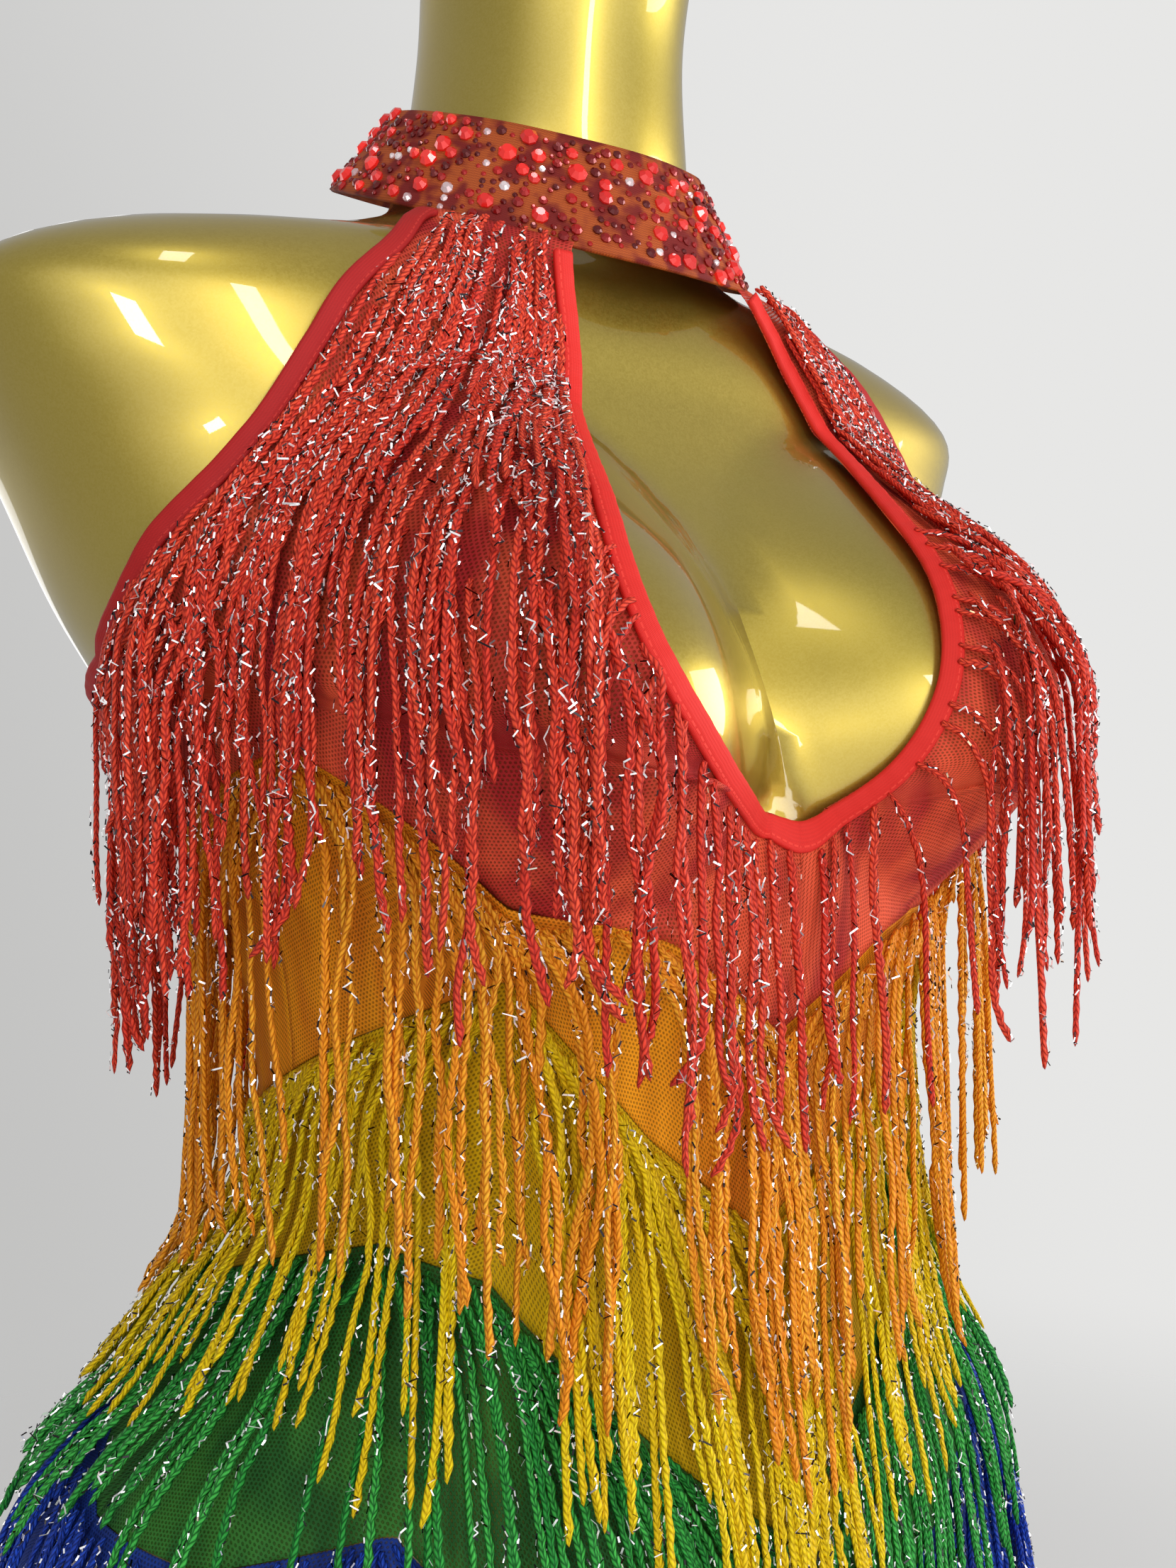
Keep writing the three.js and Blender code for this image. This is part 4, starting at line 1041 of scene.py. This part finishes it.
def cord_mesh(lines, draw):
    """Tubes of CORD_SIDES sides along the lines, flatter than they are wide, narrower at
    every other ring like the links of a chain, twisting slowly, closed at both ends."""
    count, points = lines.shape[:2]
    way, face, across = frames(lines)
    twist = draw.uniform(-0.7, 0.7, (count, 1)) + np.cumsum(draw.normal(0, 0.06, (count, points)), 1)
    s, c = np.sin(twist)[..., None], np.cos(twist)[..., None]
    face, across = face * c + across * s, across * c - face * s
    by_turns = (-1.0) ** np.arange(points)
    link = 1 + 0.13 * by_turns
    link[0], link[-2], link[-1] = 0.75, 1.12, 0.5
    size = link[None, :] * draw.uniform(0.88, 1.1, (count, 1))
    turn = np.arange(CORD_SIDES) * 2 * np.pi / CORD_SIDES
    ring = (across[:, :, None] * np.cos(turn)[:, None] * CORD_HALF_WIDTH
            + face[:, :, None] * np.sin(turn)[:, None] * CORD_HALF_DEPTH) * size[..., None, None]
    wiggle = by_turns[None, :, None] * across * 0.22
    rings = lines[:, :, None] + wiggle[:, :, None] + ring
    poles = lines[:, [0, -1]] + way[:, [0, -1]] * np.array([-0.6, 0.9])[None, :, None]
    vertices = np.concatenate([rings.reshape(count, -1, 3), poles], 1)

    each = points * CORD_SIDES + 2
    start = (np.arange(count) * each)[:, None, None]
    j, k = np.meshgrid(np.arange(points - 1), np.arange(CORD_SIDES), indexing="ij")
    upper, lower, nxt = j * CORD_SIDES, (j + 1) * CORD_SIDES, (k + 1) % CORD_SIDES
    quad = np.stack([upper + k, upper + nxt, lower + nxt, lower + k], -1)
    quads = (start + quad.reshape(1, -1, 4)).reshape(-1, 4)
    side, nxt = k[0], nxt[0]
    low = (points - 1) * CORD_SIDES
    first = np.stack([np.full(CORD_SIDES, each - 2), nxt, side], -1)
    last = np.stack([np.full(CORD_SIDES, each - 1), low + side, low + nxt], -1)
    caps = (start + np.concatenate([first, last])[None]).reshape(-1, 3)

    stride = np.linalg.norm(np.diff(lines, axis=1), axis=2).mean(1)
    run = np.arange(points)[None] * stride[:, None] / 100
    corners = np.stack([
        np.stack([np.broadcast_to((k + b) / CORD_SIDES, (count, *k.shape)), run[:, j + a]], -1)
        for a, b in ((0, 0), (0, 1), (1, 1), (1, 0))], 3)
    cap_corners = np.zeros((len(caps), 3, 2))
    tone = np.repeat(draw.uniform(0, 1, count), each)
    return vertices.reshape(-1, 3), quads, caps, corners.reshape(-1, 4, 2), cap_corners, tone


def tinsel_threads(lines, clusters, draw):
    """Film beside the cords in short crinkled runs of straight bits. Each bit is a facet turned its own way
    round its length, and its tone paints it bright and dark by turns, as painted glints."""
    count, points = lines.shape[:2]
    _, face, across = frames(lines)
    length = np.linalg.norm(np.diff(lines, axis=1), axis=2).sum(1)[:, None, None]
    begin = (np.arange(clusters) + draw.uniform(0, 0.7, (count, clusters))) / clusters
    bit = draw.uniform(0.7, 1.6, (count, clusters, 1))
    share = begin[..., None] + bit / length * np.arange(TINSEL_BITS + 1)
    at = np.clip(share, 0, 0.999) * (points - 1)
    low = at.astype(int)
    part = (at - low)[..., None]
    who = np.arange(count)[:, None, None]
    here = lines[who, low] * (1 - part) + lines[who, low + 1] * part
    turn = draw.uniform(-0.4, np.pi + 0.4, (count, clusters, 1)) + draw.normal(0, 0.5, low.shape)
    away = draw.uniform(0.9, 1.5, low.shape) + draw.exponential(0.25, (count, clusters, 1))
    out = across[who, low] * (np.cos(turn) * 1.25)[..., None] + face[who, low] * np.sin(turn)[..., None]
    spot = here + out * away[..., None]
    first, last = spot[:, :, :-1], spot[:, :, 1:]
    onward = unit(last - first)
    flat = unit(np.cross(onward, face[who, low][:, :, :-1]))
    tip = draw.uniform(0, np.pi, flat.shape[:3])[..., None]
    side = flat * np.cos(tip) + np.cross(onward, flat) * np.sin(tip)
    half = side * draw.uniform(0.13, 0.27, flat.shape[:3])[..., None]
    vertices = np.stack([first - half, first + half, last + half, last - half], 3)
    # painted glints: every other bit gets a higher tone, which the tinsel's finish paints white and glowing
    tone = np.arange(TINSEL_BITS) % 2 * 0.5 + draw.uniform(0, 0.55, flat.shape[:3])
    quads = np.arange(tone.size * 4).reshape(-1, 4)
    return vertices.reshape(-1, 3), quads, np.repeat(tone.ravel(), 4)


def fringe(name, colour, line_sets, clusters, seed, *nodes):
    """One joined mesh of a row's cords, its folded roots and their tinsel, with the runs of
    tinsel on each cord of a set."""
    draw = np.random.default_rng(seed)
    points, faces, uvs, kinds, tones, total = [], [], [], [], [], 0
    for lines, runs in zip(line_sets, clusters):
        vertices, quads, caps, corners, cap_corners, tone = cord_mesh(lines, draw)
        film, film_quads, painted_glint_tone = tinsel_threads(lines, runs, draw)
        points += [vertices, film]
        faces += [quads + total, caps + total, film_quads + total + len(vertices)]
        uvs += [corners, cap_corners, np.zeros((len(film_quads), 4, 2))]
        kinds += [np.zeros(len(quads) + len(caps)), np.ones(len(film_quads))]
        tones += [tone, painted_glint_tone]
        total += len(vertices) + len(film)
    kinds = np.concatenate(kinds)
    piece = mesh_piece(name, np.concatenate(points), faces, uvs, kinds, tone=np.concatenate(tones))
    piece.data.polygons.foreach_set("use_smooth", kinds == 0)
    piece.data.materials.append(cord_finishes[colour])
    piece.data.materials.append(tinsel)
    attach(piece, "root")
    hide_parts(*nodes)
    return piece


def even_places(height, count, low, high, draw):
    """Angles spread along a seam by its real length, each a little off its place."""
    angle = np.linspace(low, high, 900)
    curve = net_point(angle, height(angle), 0 * angle)
    run = line_run(curve)
    at = (np.arange(count) + draw.uniform(0.1, 0.8, count)) / count
    return np.interp(at * run[-1], run, angle)


def tier_lines(height, count, low, high, length, lift, rise, seed, lay, folds, at_sides=1.0):
    """The cords of one row: roots under the seam, first laid down the seam's own slope where
    it is steep, then let fall; and the short folds of cord between their roots."""
    draw = np.random.default_rng(seed)
    sets = []
    kinds = ((count, length, CORD_POINTS, lay), (folds, FOLD_LENGTH, FOLD_POINTS, FOLD_LAY))
    for number, reach, points, lay_on in kinds:
        angle = even_places(height, number, low, high, draw)
        z = height(angle) - ROOT_DROP * draw.uniform(0.4, 1.4, number)
        lifts = lift + draw.uniform(0, ROOT_UNEVEN, number)
        root = net_point(angle, z, lifts)
        before, after = (net_point(angle + k, height(angle + k), lifts) for k in (-1, 1))
        onward = unit(after - before)
        onward = onward * -np.sign(onward[:, 2:])
        steep = np.abs(onward[:, 2:])
        face = outward(angle, z)
        slope = unit(DOWN - face * (face * DOWN).sum(1, keepdims=True))
        along_seam = onward * np.minimum(1, steep * 1.6) * lay_on
        heading = unit(along_seam + slope * (1 - steep * 0.7) + draw.normal(0, 0.10, root.shape))
        beside = np.clip((np.abs((angle + 180) % 360 - 180) - 50) / 35, 0, 1)
        spread = reach * draw.uniform(0.80, 1.1, number) * (1 + (at_sides - 1) * beside)
        lines = let_fall(
            root, heading, spread, lifts, rise, LAID_HOLD, draw, points, draw.normal(0, 0.07, number))
        sets.append(gathered(lines, 0.35, draw))
    return sets


row_lift = NET_LIFT + NET + 1.6  # mm, a root's middle off the skin
tiers_of_cord = {
    # seam, cords, rise over the next row, seed, lay along the seam, folds, length at the sides
    "blue": (seam_of(GREEN_BLUE), 250, 3.7, 41, 0.9, 90, 1.0),
    "green": (seam_of(YELLOW_GREEN), 225, 7.8, 42, 0.9, 90, 0.72),
    "yellow": (seam_of(ORANGE_YELLOW), 190, 11.0, 43, 1.2, 150, 0.8),
    "orange": (seam_of(RED_ORANGE), 180, 14.1, 44, 2.4, 260, 1.0),
}
rows_of_cord = {}
for colour, (height, count, rise, seed, lay, folds, at_sides) in tiers_of_cord.items():
    sets = tier_lines(height, count, 0, 360, CORD_LENGTH, row_lift, rise, seed, lay, folds, at_sides)
    rows_of_cord[colour] = fringe(f"{colour}_cords", colour, sets, TIER_RUNS, seed + 100, f"{colour}_fringe")


def back_row(angle):
    """The height of the red back's cords: along the lower side of the binding."""
    return back_top(angle) - BINDING_WIDTH


sets = tier_lines(
    back_row, count=108, low=88, high=272, length=92, lift=row_lift, rise=17.1, seed=45, lay=0.15, folds=40)
rows_of_cord["red_back"] = fringe("red_back_cords", "red", sets, TIER_RUNS, 145, "red_fringe_back")

HALTER_CORD_ROWS = np.array([
    # how far down the front, cords, their length in mm at the keyhole and at the armhole, and
    # how far across from the keyhole the row starts
    (0.022, 9, 56, 56, 0),
    (0.055, 9, 64, 62, 0),
    (0.085, 10, 70, 68, 0),
    (0.125, 10, 78, 74, 0),
    (0.165, 11, 82, 80, 0),
    (0.205, 12, 84, 84, 0),
    (0.245, 13, 88, 86, 0),
    (0.285, 12, 92, 88, 0),
    (0.325, 11, 94, 90, 0),
    (0.365, 11, 96, 92, 0),
    (0.405, 11, 98, 92, 0),
    (0.445, 12, 100, 94, 0),
    (0.490, 13, 104, 96, 0),
    (0.550, 6, 98, 90, 0.66),
    (0.610, 6, 98, 86, 0.72),
    (0.680, 5, 98, 80, 0.78),
    (0.750, 4, 98, 74, 0.82),
])
LEAVES_AT, SLANT = 0.33, 0.12  # share of the way down where cords leave the strap; a row's slope
ARM_CLOSER = 0.85  # share by which the cords at the armhole lie closer than at the keyhole
STRAP_RISE, FRONT_RISE = 2.5, 4  # mm that a cord gains off the cloth on the strap, and below it
STRIP_CLEAR, ARM_CLEAR = 1.5, 3.6  # mm from a strip to a root; degrees inside the armhole
V_CORDS, V_LENGTH, V_LONGER = 15, 74, 0.27  # the last, mm longer for each mm up from the V
V_RISE, V_HOLD = 8, 0.8  # mm that they gain off the cloth; share of a step's way kept by the next


def front_limits(side):
    """The angles at a height between which a front's cords stay: off the keyhole's binding,
    and inside the armhole's."""
    hem = KEYHOLE_HEM[side][::-1]
    arm, column = HALTER_ROWS[6::-1], 4 if side == "left" else 5
    return lambda z: (
        np.interp(z, hem[:, 2], place(hem)) * (z > hem[0, 2]),
        np.where(z > arm[0, 6], np.interp(z, arm[:, 6], arm[:, column] - ARM_CLEAR), 180),
    )


def halter_lines(side, seed):
    """Rows of cords across a halter front. Those near its top first lie along the strap;
    then they are let fall, and each line is respaced evenly over its own length. A few more
    hang from the lower edge of the keyhole's binding."""
    draw = np.random.default_rng(seed)
    sets = []
    for at, count, at_key, at_arm, starts in HALTER_CORD_ROWS:
        count = int(count)
        width = np.linalg.norm(halter_point(side, 0, at, 0) - halter_point(side, 1, at, 0))
        edge = (BINDING_WIDTH + STRIP_CLEAR) / width
        spread = ((np.arange(count) + draw.uniform(0.05, 0.95, count)) / count) ** 1.15
        across = edge + (1 - 2 * edge) * (starts + (1 - starts) * spread)
        length = (at_key * (1 - across) + at_arm * across) * draw.uniform(0.8, 1.1, count)
        loose = 1 - ARM_CLOSER * across**2
        lift = row_lift - 0.4 + (0.4 + draw.uniform(0, HALTER_UNEVEN, count)) * loose
        down = at * (1 - SLANT * across) + draw.uniform(-0.014, 0.014, count)
        leave = np.maximum(down + 0.03, LEAVES_AT + draw.uniform(-0.05, 0.05, count))
        drift = draw.normal(0, 0.16, count) * (leave - down)
        share = np.linspace(0, 1, CORD_POINTS)
        panel_down = down[:, None] + (leave - down)[:, None] * share
        panel_across = np.clip(across[:, None] + drift[:, None] * share, edge, 1 - edge)
        off_strap = lift[:, None] + STRAP_RISE * loose[:, None] * share
        laid = halter_point(side, panel_across, panel_down, off_strap)
        laid_run = np.linalg.norm(np.diff(laid, axis=1), axis=2).sum(1)
        heading = unit(laid[:, -1] - laid[:, -3])
        rest = np.maximum(length - laid_run, 1)
        hung = let_fall(
            laid[:, -1], heading, rest, lift + STRAP_RISE * loose, FRONT_RISE * loose, HALTER_HOLD,
            draw, lean=draw.normal(0, 0.08, count), limits=front_limits(side))
        whole = np.concatenate([laid, hung[:, 1:]], 1)
        for cord, reach in zip(whole, length):
            stops, run = np.linspace(0, reach, CORD_POINTS), line_run(cord)
            sets.append([np.interp(stops, run, cord[:, k]) for k in range(3)])
    lines = gathered(np.array(sets).transpose(0, 2, 1), 0.25, draw)
    hem = KEYHOLE_HEM[side]
    run = np.cumsum(np.linalg.norm(np.diff(hem, axis=0, append=hem[-1:]), axis=1))
    up = KEYHOLE_V["hem"] * (np.arange(V_CORDS) + draw.uniform(0.1, 0.9, V_CORDS)) / V_CORDS
    hem = hem[np.searchsorted(run, run[-1] - up)]
    angle, z = place(hem), hem[:, 2]
    root = net_point(angle, z, row_lift + 0 * angle)
    way = unit(np.tile(DOWN, (V_CORDS, 1)) + draw.normal(0, 0.12, (V_CORDS, 3)))
    length = (V_LENGTH + V_LONGER * up) * draw.uniform(0.8, 1.15, V_CORDS)
    hanging = let_fall(
        root, way, length, row_lift + 0 * angle, V_RISE, V_HOLD, draw, limits=front_limits(side))
    return np.concatenate([lines, hanging]) * [SIDES[side], 1, 1]


for side, seed in (("left", 51), ("right", 52)):
    rows_of_cord[f"red_{side}"] = fringe(
        f"red_{side}_cords", "red", [halter_lines(side, seed)], HALTER_RUNS, seed + 100, f"red_fringe_{side}")

# Each panel's flat cut is worked out from its points; what is sewn to it and what it rests on are passed
# along but not used.
sewn_to = {f"red_front_{side}": [bindings[f"armhole_{side}"], rows_of_cord[f"red_{side}"]] for side in SIDES}
sewn_to["red_front_left"].append(bindings["keyhole"])
sewn_to["red_back"] = [rows_of_cord["red_back"]]
for colour in tiers:
    sewn_to[f"{colour}_front"] = [rows_of_cord[colour]]
    sewn_to[f"{colour}_back"] = []
sewn_to["gusset"] = [bindings["leg_left"], bindings["leg_right"]]
for name, sewn in sewn_to.items():
    with_pieces = {"with_pieces": sewn} if sewn else {}
    cut_cloth(cloth[name], cloth_points[name], rests_on=["display_form"], **with_pieces)

# ---------------------------------------------------------------- the studio
# A pale floor that fades into a plain pale room, soft lights round the figure, and a camera
# close in front, to the figure's right and a little below the bust, looking up a touch.
FLOOR_SIDES, FLOOR_RADIUS = 96, 1.2  # m


def floor_finish():
    """Pale matt paper whose edge fades out between 0.4 and 1.1 m from the middle."""
    material, start, link = new_finish("pale_floor", Base_Color=(0.80, 0.80, 0.80, 1), Roughness=0.7)
    away = start.node("VectorMath", {"operation": "LENGTH"}, {0: start.node("TexCoord", out=3)}, 1)
    link(Alpha=1 - away.step(0.4, 1.1))
    return material


turn = np.radians(np.arange(FLOOR_SIDES) * 360 / FLOOR_SIDES)
floor_mesh = bpy.data.meshes.new("floor")
floor_ring = np.stack([FLOOR_RADIUS * np.cos(turn), FLOOR_RADIUS * np.sin(turn), 0 * turn - 0.0002], 1)
floor_mesh.from_pydata(floor_ring.tolist(), [], [list(range(FLOOR_SIDES))])
floor = bpy.data.objects.new("floor", floor_mesh)
bpy.context.scene.collection.objects.link(floor)
floor_mesh.materials.append(floor_finish())


def room_light():
    """The room by direction: bright in front of the figure up to half way to the ceiling,
    dim behind and overhead; where it is seen past the figure, a plain wall a little darker
    to the left."""
    room = bpy.data.worlds.new("pale_room")
    room.use_nodes = True
    start = Shade(room.node_tree)
    x, y, z = start.node("SeparateXYZ", None, {"Vector": start.node("TexCoord")}).outputs()
    in_front = (x * -0.26 - y * 0.966).step(0.38, 0.95)  # ahead, 15 degrees to its right
    low = 1 - z.step(0.42, 0.75)
    lit = in_front * low * 0.86 + 0.38
    wall = (x * 0.788 - y * 0.616 + z * 0.25).step(-0.50, 0.30) * 0.27 + 0.53
    seen = start.node("LightPath")
    strength = lit * (1 - seen) + wall * seen
    backdrop = room.node_tree.nodes["Background"]
    room.node_tree.links.new(strength.socket, backdrop.inputs["Strength"])
    backdrop.inputs["Color"].default_value = (1.0, 0.997, 0.985, 1)
    return room


bpy.context.scene.world = room_light()
bpy.context.scene.view_settings.view_transform = "Standard"

LIT_HEIGHT = 0.42  # m over the floor, the bust, which the lights face


def soft_light(name, azimuth, elevation, distance, size, power, tint=(1, 1, 1)):
    """A rectangle of light that faces the bust from an azimuth round the figure, 0 in front
    and 90 at its left."""
    a, e = math.radians(azimuth), math.radians(elevation)
    back = np.array([math.sin(a) * math.cos(e), -math.cos(a) * math.cos(e), math.sin(e)])
    light = bpy.data.lights.new(name, "AREA")
    light.shape, light.size, light.size_y = "RECTANGLE", size[0], size[1]
    light.energy, light.color = power, tint
    lamp = bpy.data.objects.new(name, light)
    bpy.context.scene.collection.objects.link(lamp)
    right = unit(np.cross([0, 0, 1.0], back))
    up = np.cross(back, right)
    spot = back * distance + [0, 0, LIT_HEIGHT]
    rows = [[right[k], up[k], back[k], spot[k]] for k in range(3)]
    lamp.matrix_world = Matrix(rows + [[0, 0, 0, 1]])


# Degrees round and up, distance and size in metres, power in watts.
soft_light("tall_window", -8, 24, 1.5, (0.11, 0.80), 3.6, (1.0, 0.99, 0.97))
soft_light("door", -40, 9, 1.7, (0.20, 0.15), 1.9)
soft_light("ceiling_lamp", -26, 62, 1.4, (0.12, 0.34), 1.1)
soft_light("wall", 60, 5, 2.0, (1.2, 1.2), 26.0)
soft_light("far_wall", 184, 16, 2.0, (1.5, 1.0), 5.0)

# Degrees and metres: distance and aside are from the waist's middle, height is over the floor.
CAMERA = dict(azimuth=-38.12, distance=0.5266, height=0.4125, aside=0.0107,
              pitch=2.08, roll=-0.87, lens=24.963)
a, pitch, roll = (math.radians(CAMERA[k]) for k in ("azimuth", "pitch", "roll"))
back = np.array([math.sin(a), -math.cos(a), 0])
right = np.array([math.cos(a), math.sin(a), 0])
up = np.array([0, 0, 1.0])
spot = back * CAMERA["distance"] + right * CAMERA["aside"] + up * CAMERA["height"] + [0, WAIST[1] / 1000, 0]
ahead = up * math.sin(pitch) - back * math.cos(pitch)
lifted = up * math.cos(pitch) + back * math.sin(pitch)
camera_x = right * math.cos(roll) + lifted * math.sin(roll)
camera_y = lifted * math.cos(roll) - right * math.sin(roll)
lens = bpy.data.cameras.new("camera")
lens.sensor_fit, lens.sensor_height, lens.lens = "VERTICAL", 24, CAMERA["lens"]
lens.clip_start = 0.02
camera = bpy.data.objects.new("camera", lens)
rows = [[camera_x[k], camera_y[k], -ahead[k], spot[k]] for k in range(3)]
camera.matrix_world = Matrix(rows + [[0, 0, 0, 1]])
bpy.context.scene.collection.objects.link(camera)
bpy.context.scene.camera = camera
